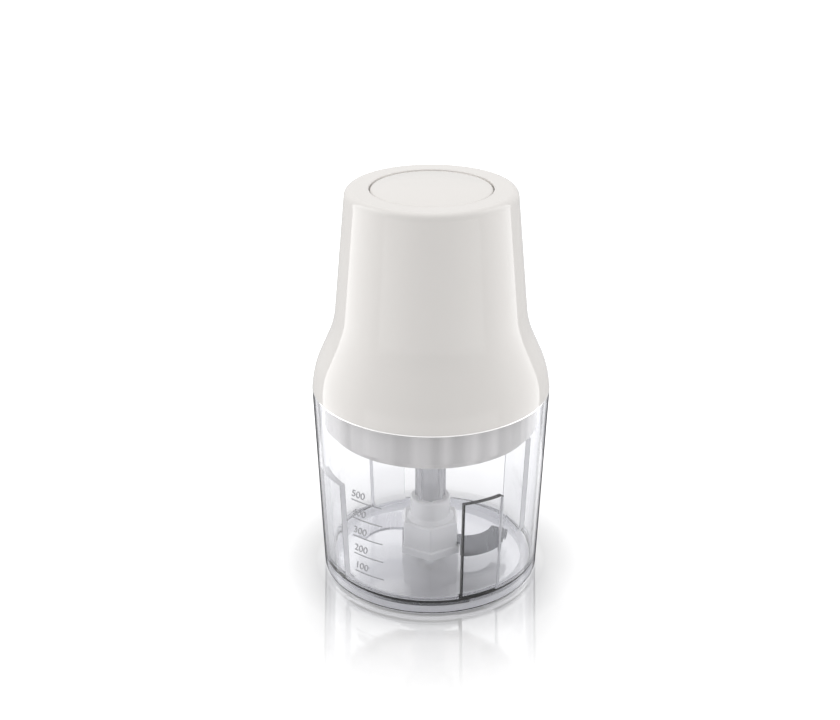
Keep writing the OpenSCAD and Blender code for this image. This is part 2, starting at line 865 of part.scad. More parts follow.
module push_button() {
  crown_r = (pow(button_r, 2) + pow(button_crown, 2)) / (2 * button_crown);
  crown_c = [0, button_edge + button_crown - crown_r];
  edge_deg = acos((button_r - button_bevel) / crown_r);
  catch_z = top_under - run;
  color(shell_white) rotate_extrude() polygon(concat(
    arc(crown_c, crown_r, 90, edge_deg),
    [
      [button_r, button_edge - button_bevel],
      [button_r, catch_z],
      [catch_r, catch_z],
      [catch_r, catch_z - catch_t],
      [button_r - button_wall, catch_z - catch_t],
      [button_r - button_wall, button_under],
      [stem_r, button_under],
      [stem_r, button_under - stem_l],
      [0, button_under - stem_l]
    ]
  ));
}

module switch_plunger() {
  color(red) translate([0, 0, plunger_top - plunger_l]) cylinder(r = plunger_r, h = plunger_l);
}

module motor_shaft() {
  color(steel) union() {
    translate([0, 0, gear_z]) cylinder(r = pinion_bore, h = bracket_z - gear_z);
    translate([0, 0, bracket_z - shaft_drop]) cylinder(r = shaft_r, h = shaft_top - bracket_z + shaft_drop);
  }
}

module rotor_core() {
  color(core_steel) translate([0, 0, stack_z]) linear_extrude(stack_h) difference() {
    circle(rotor_r);
    circle(shaft_r + seat);
    for (k = [0:slots - 1]) rotate(360 * k / slots) {
      translate([slot_in_r, -slot_w / 2]) square([end_turn_r - slot_in_r, slot_w]);
      translate([end_turn_r - sink, -slot_mouth / 2]) square([rotor_r, slot_mouth]);
    }
  }
}

module armature_winding() {
  bar_w = slot_w - 2 * slot_fit;
  bar_in_r = slot_in_r + slot_fit;
  bar_l = end_turn_r - slot_fit - bar_in_r;
  color(copper) union() {
    for (z = [stack_z - end_turn_h, stack_top])
      translate([0, 0, z]) ring(end_turn_r, end_turn_in, end_turn_h);
    for (k = [0:slots - 1]) rotate([0, 0, 360 * k / slots])
      translate([bar_in_r, -bar_w / 2, stack_z - sink]) cube([bar_l, bar_w, stack_h + 2 * sink]);
  }
}

module commutator() {
  color(commutator_copper) translate([0, 0, commutator_z]) difference() {
    ring(commutator_r, shaft_r + seat, commutator_l);
    for (k = [0:slots - 1]) rotate([0, 0, 360 * (k + 0.5) / slots])
      translate([commutator_r - bar_depth, -bar_gap / 2, bar_gap])
        cube([2 * bar_depth, bar_gap, commutator_l]);
  }
}

module cooling_fan() {
  color(black) translate([0, 0, fan_z]) difference() {
    union() {
      cylinder(r = fan_hub_r, h = fan_h);
      cylinder(r = fan_r, h = fan_blade_t);
      for (k = [0:fan_blades - 1]) rotate([0, 0, 360 * k / fan_blades])
        translate([fan_hub_r - sink, -fan_blade_t / 2, sink])
          cube([fan_r - fan_hub_r, fan_blade_t, fan_h - sink]);
    }
    translate([0, 0, -past]) cylinder(r = shaft_r + seat, h = fan_h + 2 * past);
  }
}

module gear(teeth, bore) {
  pitch_r = gear_module * teeth / 2;
  outline = gear_outline(teeth, pitch_r + gear_module, pitch_r - dedendum, flank_thin);
  difference() {
    linear_extrude(gear_w) polygon(outline);
    translate([0, 0, -past]) cylinder(r = bore, h = gear_w + 2 * past);
  }
}

module sun_pinion() {
  color(screw_steel) translate([0, 0, gear_z]) gear(sun_teeth, pinion_bore + seat);
}

module output_coupling() {
  color(inner_plastic) difference() {
    translate([0, 0, coupling_z]) cylinder(r = coupling_r, h = carrier_z - coupling_z);
    translate([0, 0, coupling_z - past])
      hex((dog_af + 2 * dog_gap) / sqrt(3), socket_top - coupling_z + past);
    translate([0, 0, spigot_z]) cylinder(r = spigot_r + seat, h = carrier_z - spigot_z + past);
  }
}

module planet_carrier() {
  color(cast_metal) difference() {
    union() {
      translate([0, 0, carrier_z]) cylinder(r = carrier_r, h = carrier_t);
      translate([0, 0, spigot_z]) cylinder(r = spigot_r, h = carrier_z - spigot_z + sink);
    }
    at_circle(orbit_r, planets) translate([0, 0, carrier_z - past])
      cylinder(r = planet_pin_r + seat, h = carrier_t + 2 * past);
  }
}

module planet_pins() {
  color(steel) at_circle(orbit_r, planets) translate([0, 0, carrier_z])
    cylinder(r = planet_pin_r, h = gear_top + pin_stand - carrier_z);
}

// The planet has a tooth on its outer side, so a gap of its teeth takes the sun's tooth
module planet_gear(index) {
  color(gear_plastic) rotate([0, 0, 360 * index / planets]) translate([orbit_r, 0, gear_z])
    gear(planet_teeth, planet_pin_r + run);
}

bowl();
foot_ring();
bowl_pin();
blade_hub();
hub_bush();
lower_blade();
upper_blade();
motor_housing();
base_plate();
cord_gland();
housing_screws();
shaft_seal();
output_bush();
ring_gear();
lower_bracket();
bracket_screws();
lower_bearing();
stator_core();
field_coils();
upper_bracket();
through_bolts();
upper_bearing();
brush_holders();
carbon_brushes();
brush_springs();
switch_bracket();
switch_screws();
switch_body();
button_spring();
push_button();
switch_plunger();
motor_shaft();
rotor_core();
armature_winding();
commutator();
cooling_fan();
sun_pinion();
output_coupling();
planet_carrier();
planet_pins();
planet_gear(0);  // planet_gear_1
planet_gear(1);  // planet_gear_2
planet_gear(2);  // planet_gear_3
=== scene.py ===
import json
import math

import bmesh
import bpy
from mathutils import Matrix, Vector


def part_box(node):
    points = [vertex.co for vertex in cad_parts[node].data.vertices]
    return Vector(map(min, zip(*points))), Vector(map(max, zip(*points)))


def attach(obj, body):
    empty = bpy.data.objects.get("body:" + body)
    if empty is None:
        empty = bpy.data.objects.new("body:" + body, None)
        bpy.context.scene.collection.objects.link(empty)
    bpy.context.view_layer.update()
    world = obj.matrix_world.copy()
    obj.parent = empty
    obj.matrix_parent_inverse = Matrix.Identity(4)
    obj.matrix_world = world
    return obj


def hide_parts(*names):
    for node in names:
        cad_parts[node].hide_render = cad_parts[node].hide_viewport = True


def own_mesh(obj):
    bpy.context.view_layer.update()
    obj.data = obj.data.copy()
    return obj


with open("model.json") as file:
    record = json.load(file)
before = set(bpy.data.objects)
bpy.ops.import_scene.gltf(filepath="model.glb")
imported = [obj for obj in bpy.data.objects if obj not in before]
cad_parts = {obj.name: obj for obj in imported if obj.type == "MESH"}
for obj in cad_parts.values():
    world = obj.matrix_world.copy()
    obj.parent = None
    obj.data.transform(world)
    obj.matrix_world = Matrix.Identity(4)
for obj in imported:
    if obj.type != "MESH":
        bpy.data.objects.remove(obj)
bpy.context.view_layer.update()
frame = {"nodes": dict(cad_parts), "record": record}

# Units and mesh fineness
MM = 0.001
TURN = 2 * math.pi
ROUND_SIDES = 192
GRIP_SIDES = 96
DISC_SIDES = 96
GLAND_SIDES = 64
BORE_SIDES = 48
ARC_STEPS = 6
HEX_STEPS = 4
SHARP_DEG = 32
ON_AXIS_R = 1e-7
# How far shapes reach into each other where they are joined or cut
OVERLAP = 0.5 * MM

# Bowl
EDGE_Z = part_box("bowl")[0].z
BOWL_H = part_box("bowl")[1].z
RIM_R = 61 * MM
BASE_R = 57 * MM
WALL = 2.2 * MM
# Height of the white band on the rim's top: a painted highlight line
RIM_HIGHLIGHT_LINE = 0.9 * MM
BOWL_ROUND = 0.5 * MM
SKIRT_W = 2.7 * MM
SKIRT_ROUND = 0.8 * MM
FLOOR_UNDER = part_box("foot_ring")[1].z
FLOOR_T = 2.2 * MM
FLOOR_Z = FLOOR_UNDER + FLOOR_T
FLOOR_ROUND = 4 * MM
FLOOR_STEPS = 8
BOSS_R = 6.5 * MM
BOSS_H = 3 * MM
BOSS_FOOT_ROUND = 1 * MM
BOSS_TOP_ROUND = 0.6 * MM
PIN_R = 3 * MM

# Foot ring
FOOT_R = BASE_R - SKIRT_W
FOOT_W = 5.2 * MM
FOOT_GAP = 0.02 * MM
FOOT_ROUND = 0.8 * MM
FOOT_TOP_ROUND = 0.3 * MM

# Pads on the bowl's inside
PADS = 4
PAD_T = 3 * MM
PAD_TOP = 63.5 * MM
PAD_HALF = math.radians(11)
PAD_TURN = math.radians(27)
# Rounded step at a pad's edge: distance in from the edge, and share of the pad's thickness
PAD_STEP = [
    (-0.2 * MM, 0), (-0.06 * MM, 0.02), (-0.02 * MM, 0.07), (0.02 * MM, 0.93),
    (0.06 * MM, 0.98), (0.2 * MM, 1), (0.5 * MM, 1), (1.3 * MM, 1),
]
ANGLE_DIGITS = 7
# Painted lines along the pads' edges: thin pale ones as a painted highlight, and on one pad wide dark ones
# on its left and top as a painted dark reflection
PAINTED_HIGHLIGHT_LINE_W = 0.03 * MM
PAD_WITH_PAINTED_SHADE = 3
PAINTED_SHADE_LINE_W = 1.25 * MM
TOP_LINE_H = 0.4 * MM
# How far off the wall or the floor a face still belongs to it
WALL_SLACK = 0.02 * MM
FLOOR_SLACK = 0.1 * MM

# Volume scale
TICKS = 5
TICK_FIRST = 18.3 * MM
TICK_PITCH = 10.6 * MM
TICK_START = math.radians(-132)
TICK_TURN = math.radians(17.5)
TICK_W = 0.6 * MM
TICK_TOP_W = 0.36 * MM
TICK_STEPS = 12
MARK_PROUD = 0.3 * MM
MARK_SUNK = 0.05 * MM
DIGIT_H = 4 * MM
DIGIT_RISE = 2 * MM
DIGIT_SHEAR = 0.18
# Height of a digit in a font of size 1
DIGIT_SHARE = 0.7
ML_STEP = 100

# Blade hub
HUB_LOW, HUB_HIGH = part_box("blade_hub")
HUB_Z = HUB_LOW.z
HUB_H = 18.5 * MM
HUB_TOP = HUB_Z + HUB_H
HUB_R = 16.4 * MM
HUB_ROUND = 1.5 * MM
HUB_EDGE = 0.9 * MM
FLANGE_R = 17.6 * MM
FLANGE_EDGE = 0.6 * MM
FLANGE_GAP = 0.3 * MM
GRIP_R = 10.7 * MM
GRIP_H = 12.5 * MM
GRIP_TOP = HUB_TOP + GRIP_H
GRIP_ROUND = 1.2 * MM
CROWN_W = 2.4 * MM
CROWN_H = 1.9 * MM
CROWN_ROUND = 1 * MM
DOG_TOP = HUB_HIGH.z
DOG_H = 11.5 * MM
DOG_AF = 11 * MM
DOG_ROUND = 0.6 * MM
DOG_EDGE = 0.8 * MM
COLUMN_TOP = DOG_TOP - DOG_H
COLUMN_R = 8.1 * MM
COLUMN_EDGE = 0.5 * MM
COLUMN_RIBS = 8
RIB_W = 2 * MM
CORE_R = 7.2 * MM
CORE_STEPS = 5
GRIP_SLACK = 0.1 * MM
BUSH_R = 5.02 * MM
BUSH_TOP = 44.3 * MM
RECESS_GAP = 0.8 * MM
RECESS_R = BOSS_R + RECESS_GAP
RECESS_H = 3 * MM

# Blades
LOW_BLADE_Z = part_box("lower_blade")[0].z
UP_BLADE_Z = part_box("upper_blade")[0].z
BLADE_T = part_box("lower_blade")[1].z - LOW_BLADE_Z
BLADE_OUT_C = Vector((15.2, 8.2)) * MM
BLADE_OUT_R = 27.3 * MM
BLADE_OUT_END_DEG = -4.2
BLADE_IN_C = Vector((19, 16)) * MM
BLADE_IN_R = 16.2 * MM
BLADE_IN_END_DEG = -21.4
BLADE_STEPS = 40
BLADE_ROOT = 15.5 * MM
BLADE_TANG_W = 8 * MM
BLADE_DISC_R = 11 * MM
BLADE_EDGE_T = 0.25 * MM
# Width that is ground, and the most of the blade's own width that it may take
BLADE_GRIND = 5.5 * MM
GRIND_SHARE = 0.6

# Motor housing
TOP_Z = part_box("motor_housing")[1].z
SHELL_T = 2.5 * MM
HOUSING_R = 60.8 * MM
HOUSING_DEG = 4
SHOULDER_R = 50 * MM
FLARE_DEG = 23.8
FLARE_L = 10 * MM
WAIST_R = 49 * MM
NECK_DEG = 5.4
HOUSING_STEPS = 24
TOP_ROUND = 4 * MM
TOP_LEAST_ROUND = 0.5 * MM
TOP_STEPS = 12
OPENING_R = 30.5 * MM
OPENING_ROUND = 0.5 * MM
VENTS = 5
VENT_RISE = 16 * MM
VENT_PITCH = 4 * MM
VENT_H = 1.8 * MM
VENT_HALF_DEG = 22
VENT_INNER_R = 36 * MM
VENT_STEPS = 24
BACK_DEG = 90

# Cord gland
GLAND_LOW, GLAND_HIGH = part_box("cord_gland")
GLAND_Z = (GLAND_LOW.z + GLAND_HIGH.z) / 2
GLAND_BORE_R = 3.6 * MM
GLAND_BORE_ROUND = 0.6 * MM
GLAND_NECK_R = 6 * MM
GLAND_NUT_R = 7.4 * MM
GLAND_NUT_ROUND = 0.4 * MM
GLAND_FLANGE_R = (GLAND_HIGH.z - GLAND_LOW.z) / 2
GLAND_FLANGE_T = 2.2 * MM
GLAND_FLANGE_ROUND = 1 * MM
GLAND_FACE = GLAND_HIGH.y - GLAND_FLANGE_T
GLAND_PAD_RIM = 1 * MM
GLAND_PAD_R = GLAND_FLANGE_R + GLAND_PAD_RIM
GLAND_PAD_T = 6 * MM
GLAND_PAD_ROUND = 0.6 * MM

# Push button
BUTTON_LOW, BUTTON_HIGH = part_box("push_button")
BUTTON_R = 30 * MM
BUTTON_T = 3 * MM
BUTTON_WALL = 2 * MM
BUTTON_CROWN = 2.5 * MM
BUTTON_UNDER = BUTTON_HIGH.z - BUTTON_CROWN - BUTTON_T
BUTTON_STEPS = 24
BUTTON_EDGE_W = 1.5 * MM
BUTTON_EDGE_DROP = 0.4 * MM
BUTTON_ROUND = 1 * MM
CATCH_R = BUTTON_HIGH.x
CATCH_T = 1.8 * MM
CATCH_GAP = 0.05 * MM
CATCH_TOP = TOP_Z - SHELL_T - CATCH_GAP
CATCH_ROUND = 0.3 * MM
STEM_R = 4 * MM

# Spring under the button
SPRING_LOW, SPRING_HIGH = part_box("button_spring")
SPRING_WIRE_R = 0.7 * MM
SPRING_TURNS = 6
COIL_STEPS = 40
COIL_SIDES = 12

# Clear plastic: painted shade in its tint, greyer the further a face is turned away from the eye, standing
# in for dark reflections along its outline
EDGE_PAINTED_SHADE_TINTS = [
    (0.5, (0.99, 0.99, 0.995)),
    (0.68, (0.96, 0.96, 0.98)),
    (0.77, (0.78, 0.78, 0.82)),
    (0.83, (0.5, 0.5, 0.54)),
]
BOWL_TINT = (0.48, 0.49, 0.53)
BOWL_DENSITY = 58.0
CLEAR_IOR = 1.49
MILKY_IOR = 1.46
# Tints of the light that clear and milky plastic let through
PALE = (0.95, 0.95, 0.96)
MILKY_PASS = (0.92, 0.92, 0.93)
# Painted dark reflections: from and to how far turned away from the eye the wall, and the floor's front
# edge, go dark, and the painted dark colours
WALL_EDGE = (0.81, 0.91)
WALL_PAINTED_DARK = (0.08, 0.08, 0.088)
FLOOR_EDGE = (0.38, 0.5)
FLOOR_PAINTED_DARK = (0.01, 0.01, 0.011)
FLOOR_EDGE_PLACE = (10 * MM, -50 * MM, 4 * MM)
FLOOR_EDGE_FADE = (26 * MM, 44 * MM)
FLOOR_EDGE_SLACK = 0.05 * MM

# Kinds of light path: what the camera sees, directly, mirrored or through something clear,
# and the light that clear and milky surfaces let straight through
SEEN_RAYS = ("Is Camera Ray", "Is Glossy Ray", "Is Transmission Ray")
LAMP_RAYS = ("Is Shadow Ray", "Is Diffuse Ray")

# Table top
FLOOR_REACH = 8
FLOOR_SHINE = 0.5
SHINE_FADE = (55 * MM, 135 * MM)
# Glow of the table top that only the eye sees: it is weaker round a place under the bowl, a painted shadow
# seen through the bowl, and lower near the bowl, a painted shadow beside its base
PAINTED_SHADOW_PLACE = (6 * MM, -40 * MM, 0)
PAINTED_SHADOW_FADE = (12 * MM, 62 * MM)
PAINTED_SHADOW_GLOWS = (0.0, 0.7)
NEAR_FADE = (50 * MM, 62 * MM)
NEAR_GLOW = 0.12
# Glow added further out: the distances from the middle between which it grows, and its strength
GLOWS = [((57 * MM, 80 * MM), 0.31), ((0.15, 0.7), 0.4)]

# Lamps: place, size and power in watts
AMBIENT = 0.7
LAMP_TARGET = (0, 0, 120 * MM)
LAMPS = {
    "back_light": ((0, 0.9, 1.4), (0.35, 0.35), 8.4),
    "left_light": ((-1.1, 0, 0.6), (0.6, 1.0), 4.4),
    "right_light": ((1.1, 0, 0.6), (0.6, 1.0), 3.3),
}
# Cards that only reflections show: their two ends (x, y) and the strength at each end.
# Strength runs along Y, so the back card stands a little askew to have such a run.
CARD_H = 0.5
CARDS = {
    "left_card": ((-0.24, 0.1), (-0.24, -0.15), (2.9, 1.0)),
    "right_card": ((0.24, 0.1), (0.24, -0.15), (2.7, 1.0)),
    "back_card": ((-0.24, 0.101), (0.24, 0.1), (0.65, 0.65)),
}

# Camera, as the photograph was taken
CAMERA_PLACE = (-5.6 * MM, -648.8 * MM, 410.2 * MM)
CAMERA_TILT = math.radians(65.66)
CAMERA_LENS = 59.67
CAMERA_SENSOR = 36


# Geometry helpers

def on_arc(centre, radius, start_deg, end_deg, steps):
    """Points on an arc, from one angle to the other."""
    turns = [math.radians(start_deg + (end_deg - start_deg) * s / steps) for s in range(steps + 1)]
    return [Vector(centre) + radius * Vector((math.cos(t), math.sin(t))) for t in turns]


def rounded(corners, steps=ARC_STEPS):
    """Outline through corners (x, y, radius), each turned into an arc of its radius."""
    points = []
    for k, (x, y, radius) in enumerate(corners):
        here = Vector((x, y))
        if radius == 0:
            points.append(here)
            continue
        before = (Vector(corners[k - 1][:2]) - here).normalized()
        after = (Vector(corners[(k + 1) % len(corners)][:2]) - here).normalized()
        half = before.angle(after) / 2
        centre = here + (before + after).normalized() * radius / math.sin(half)
        first = here + before * radius / math.tan(half) - centre
        last = here + after * radius / math.tan(half) - centre
        start = math.degrees(math.atan2(first.y, first.x))
        turn = math.degrees(math.atan2(first.x * last.y - first.y * last.x, first.dot(last)))
        points += on_arc(centre, radius, start, start + turn, steps)
    return points


def even_angles(count=ROUND_SIDES):
    """Angles of a full turn in even steps."""
    return [TURN * k / count for k in range(count)]


def circle(radius, sides=BORE_SIDES):
    """Outline of a circle about the axis."""
    return [radius * Vector((math.cos(a), math.sin(a))) for a in even_angles(sides)]


def hexagon(radius, corner_round):
    """Outline of a hexagon about the axis, with rounded corners."""
    corners = [math.radians(30 + 60 * k) for k in range(6)]
    return rounded([(radius * math.cos(a), radius * math.sin(a), corner_round) for a in corners], HEX_STEPS)


def turned(rows, angles=None, inset=None):
    """Closed mesh of an outline of (radius, height, share) rows turned about Z.
    inset(angle) is taken off the radius, times the row's share."""
    angles = angles or even_angles()
    bm = bmesh.new()
    rings = []
    for row in rows:
        radius, height = row[0], row[1]
        share = row[2] if len(row) > 2 else 0
        if radius < ON_AXIS_R:
            rings.append([bm.verts.new((0, 0, height))] * len(angles))
            continue
        ring = []
        for a in angles:
            r = radius - (share * inset(a) if share else 0)
            ring.append(bm.verts.new((r * math.cos(a), r * math.sin(a), height)))
        rings.append(ring)
    for k, ring in enumerate(rings):
        above = rings[(k + 1) % len(rings)]
        for j in range(len(angles)):
            i = (j + 1) % len(angles)
            corners = list(dict.fromkeys([ring[j], ring[i], above[i], above[j]]))
            if len(corners) > 2:
                bm.faces.new(corners)
    return bm


def skin(bm, loops):
    """Closes a surface over loops of vertices that follow each other, with a face at both ends."""
    bm.faces.new(loops[0])
    bm.faces.new(reversed(loops[-1]))
    for a, b in zip(loops, loops[1:]):
        for j in range(len(a)):
            i = (j + 1) % len(a)
            bm.faces.new((a[i], a[j], b[j], b[i]))


def prism(outline, low, high, chamfer=0):
    """Closed mesh of a flat outline raised from low to high, its top edge bevelled."""
    bm = bmesh.new()
    levels = [(high - chamfer, 1), (low, 1)]
    if chamfer:
        reach = max(p.length for p in outline)
        levels.insert(0, (high, (reach - chamfer) / reach))
    skin(bm, [[bm.verts.new((p.x * share, p.y * share, z)) for p in outline] for z, share in levels])
    return bm


def coil(radius, wire_r, low, high, turns):
    """Closed mesh of a wire wound about Z, its middle going from low to high."""
    bm = bmesh.new()
    steps = COIL_STEPS * turns
    lead = (high - low) / (TURN * turns)
    loops = []
    for s in range(steps + 1):
        turn = TURN * turns * s / steps
        out = Vector((math.cos(turn), math.sin(turn), 0))
        along = Vector((-radius * out.y, radius * out.x, lead)).normalized()
        middle = radius * out + Vector((0, 0, low + lead * turn))
        ring = [math.cos(a) * out + math.sin(a) * along.cross(out) for a in even_angles(COIL_SIDES)]
        loops.append([bm.verts.new(middle + wire_r * p) for p in ring])
    skin(bm, loops)
    return bm


def as_object(name, bm):
    """Object of a mesh, smooth apart from its sharp edges."""
    bmesh.ops.recalc_face_normals(bm, faces=bm.faces)
    for face in bm.faces:
        face.smooth = True
    for edge in bm.edges:
        edge.smooth = len(edge.link_faces) == 2 and edge.calc_face_angle(0) < math.radians(SHARP_DEG)
    mesh = bpy.data.meshes.new(name)
    bm.to_mesh(mesh)
    bm.free()
    obj = bpy.data.objects.new(name, mesh)
    bpy.context.scene.collection.objects.link(obj)
    return obj


def combine(target, operation, *shapes):
    """Applies a boolean of each shape to the target object, and returns the object that results."""
    tools = [as_object("tool", shape) for shape in shapes]
    for tool in tools:
        step = target.modifiers.new(tool.name, "BOOLEAN")
        step.operation = operation
        step.solver = "EXACT"
        step.object = tool
    bpy.context.view_layer.update()
    evaluated = target.evaluated_get(bpy.context.evaluated_depsgraph_get())
    bm = bmesh.new()
    bm.from_mesh(bpy.data.meshes.new_from_object(evaluated))
    name = target.name
    for spent in (*tools, target):
        bpy.data.objects.remove(spent)
    return as_object(name, bm)


# Materials

def any_ray(tree, *kinds):
    """1 for a light path of any of these kinds."""
    path = tree.nodes.new("ShaderNodeLightPath")
    total = path.outputs[kinds[0]]
    for kind in kinds[1:]:
        either = tree.nodes.new("ShaderNodeMath")
        either.operation = "MAXIMUM"
        tree.links.new(total, either.inputs[0])
        tree.links.new(path.outputs[kind], either.inputs[1])
        total = either.outputs["Value"]
    return total


class Nodes:
    """A material's node tree with a Principled shader."""

    def __init__(self, name):
        self.material = bpy.data.materials.new(name)
        self.material.use_nodes = True
        self.tree = self.material.node_tree
        self.shader = self.tree.nodes["Principled BSDF"]
        self.output = self.tree.nodes["Material Output"]

    def link(self, out, into):
        """Leads one node's output into another's input."""
        self.tree.links.new(out, into)

    def set(self, node=None, **inputs):
        """Sets inputs of a node, or of the Principled shader. A _ stands for a space."""
        for name, value in inputs.items():
            (node or self.shader).inputs[name.replace("_", " ")].default_value = value

    def add(self, kind, **inputs):
        """New node of a kind, with its inputs set."""
        node = self.tree.nodes.new("ShaderNode" + kind)
        self.set(node, **inputs)
        return node

    def place(self, stretch=(1, 1, 1)):
        """Coordinates on the piece, in metres, stretched per axis."""
        mapping = self.add("Mapping", Scale=stretch)
        self.link(self.add("TexCoord").outputs["Object"], mapping.inputs["Vector"])
        return mapping.outputs["Vector"]

    def along(self, axis):
        """Place on the piece along one axis, in metres."""
        split = self.add("SeparateXYZ")
        self.link(self.place(), split.inputs["Vector"])
        return split.outputs[axis]

    def distance(self, point):
        """Distance on the piece from a point, in metres."""
        node = self.add("VectorMath")
        node.operation = "DISTANCE"
        node.inputs[1].default_value = point
        self.link(self.place(), node.inputs[0])
        return node.outputs["Value"]

    def ramp(self, factor, start, end, low=0.0, high=1.0):
        """Value that goes from low to high as the factor goes from start to end."""
        node = self.add("MapRange", From_Min=start, From_Max=end, To_Min=low, To_Max=high)
        self.link(factor, node.inputs["Value"])
        return node.outputs["Result"]

    def within(self, factor, value, slack):
        """1 where a factor is within slack of a value."""
        node = self.add("Math")
        node.operation = "COMPARE"
        self.link(factor, node.inputs[0])
        node.inputs[1].default_value = value
        node.inputs[2].default_value = slack
        return node.outputs["Value"]

    def join(self, operation, a, b):
        """Two values put together by a Math operation."""
        node = self.add("Math")
        node.operation = operation
        self.link(a, node.inputs[0])
        self.link(b, node.inputs[1])
        return node.outputs["Value"]

    def noise(self, scale, detail=3, stretch=(1, 1, 1)):
        """Noise on the piece, drawn out along an axis that is stretched less."""
        node = self.add("TexNoise", Scale=scale, Detail=detail)
        self.link(self.place(stretch), node.inputs["Vector"])
        return node.outputs["Fac"]

    def bands(self, scale):
        """Even lines, one above the other."""
        node = self.add("TexWave", Scale=scale)
        node.bands_direction = "Z"
        self.link(self.place(), node.inputs["Vector"])
        return node.outputs["Fac"]

    def colours(self, factor, stops):
        """Base colour by factor, through stops (place, colour)."""
        ramp = self.add("ValToRGB")
        elements = ramp.color_ramp.elements
        for place, _ in stops[2:]:
            elements.new(place)
        for element, (place, colour) in zip(elements, stops):
            element.position = place
            element.color = (*colour, 1)
        self.link(factor, ramp.inputs["Fac"])
        self.link(ramp.outputs["Color"], self.shader.inputs["Base Color"])

    def shades(self, factor, colour, shade, ends=(0, 1)):
        """Base colour by factor, from a colour times shade to the colour itself."""
        dark = tuple(c * shade for c in colour)
        self.colours(factor, [(ends[0], dark), (ends[1], colour)])

    def roughness(self, factor, smooth, rough):
        """Roughness by factor, from smooth to rough."""
        self.link(self.ramp(factor, 0.0, 1.0, smooth, rough), self.shader.inputs["Roughness"])

    def bump(self, factor, height, strength=0.5):
        """Fine relief by factor, of a height in metres."""
        node = self.add("Bump", Strength=strength, Distance=height)
        self.link(factor, node.inputs["Height"])
        self.link(node.outputs["Normal"], self.shader.inputs["Normal"])

    def plain(self, kind, colour, **inputs):
        """Shader of a kind, in one colour."""
        return self.add(kind, Color=(*colour, 1), **inputs).outputs["BSDF"]

    def glow(self, strength):
        """White light of a strength that another node gives."""
        node = self.add("Emission", Color=(1, 1, 1, 1))
        self.link(strength, node.inputs["Strength"])
        return node.outputs["Emission"]

    def mix(self, share, first, second):
        """Shader between two others. The share of the second is a number or comes from a node."""
        node = self.add("MixShader")
        if isinstance(share, float):
            self.set(node, Fac=share)
        else:
            self.link(share, node.inputs["Fac"])
        self.link(first, node.inputs[1])
        self.link(second, node.inputs[2])
        return node.outputs["Shader"]

    def show(self, surface):
        """Makes a shader the material's surface."""
        self.link(surface, self.output.inputs["Surface"])

    def show_clear(self, surface, colour):
        """As show, but lamp light and scattered light go straight through, tinted by a colour."""
        through = self.plain("BsdfTransparent", colour)
        self.show(self.mix(any_ray(self.tree, *LAMP_RAYS), surface, through))


def moulded(name, colour, rough=(0.2, 0.3), grain=900, height=0.02 * MM, shade=0.96, **sockets):
    """Moulded plastic or rubber: a fine skin over faint changes of colour."""
    n = Nodes(name)
    n.set(**sockets)
    n.shades(n.noise(scale=60), colour, shade)
    n.roughness(n.noise(scale=250), *rough)
    n.bump(n.noise(grain), height)
    return n.material


def satin(name, colour, rough, shade):
    """Satin plastic with painted upright streaks: lighter and darker bands that stand in for reflections, a
    painted sheen.
    """
    n = Nodes(name)
    streaks = n.noise(scale=110, detail=1, stretch=(1, 1, 0.01))
    n.shades(streaks, colour, shade, ends=(0.35, 0.65))
    n.roughness(n.noise(scale=250), *rough)
    n.bump(n.noise(scale=900), height=0.02 * MM)
    return n.material


def brushed(name, colour, rough=(0.2, 0.4), stretch=(1, 1, 40), shade=0.85):
    """Drawn or ground metal: streaks along the two axes that aren't stretched."""
    n = Nodes(name)
    n.set(Metallic=1.0)
    streaks = n.noise(scale=60, detail=6, stretch=stretch)
    n.shades(streaks, colour, shade)
    n.roughness(streaks, *rough)
    n.bump(streaks, height=0.01 * MM, strength=0.3)
    return n.material


def layered(name, colour, lines, rough=(0.35, 0.55)):
    """Stacked sheets or wound wire: even lines round the axis."""
    n = Nodes(name)
    n.set(Metallic=1.0)
    layers = n.bands(lines)
    n.shades(layers, colour, shade=0.6)
    n.roughness(n.noise(scale=300), *rough)
    n.bump(layers, height=0.15 * MM, strength=0.6)
    return n.material


def milky_plastic(name, colour, rough, clear, milk):
    """Milky plastic or soft rubber: a share lets light through clear, and a share scattered."""
    n = Nodes(name)
    n.set(Transmission_Weight=clear, IOR=MILKY_IOR)
    n.shades(n.noise(scale=90), colour, shade=0.955)
    n.roughness(n.noise(scale=200), *rough)
    n.bump(n.noise(scale=400), height=0.02 * MM)
    scattered = n.plain("BsdfTranslucent", PALE)
    n.show_clear(n.mix(milk, n.shader.outputs["BSDF"], scattered), MILKY_PASS)
    return n.material


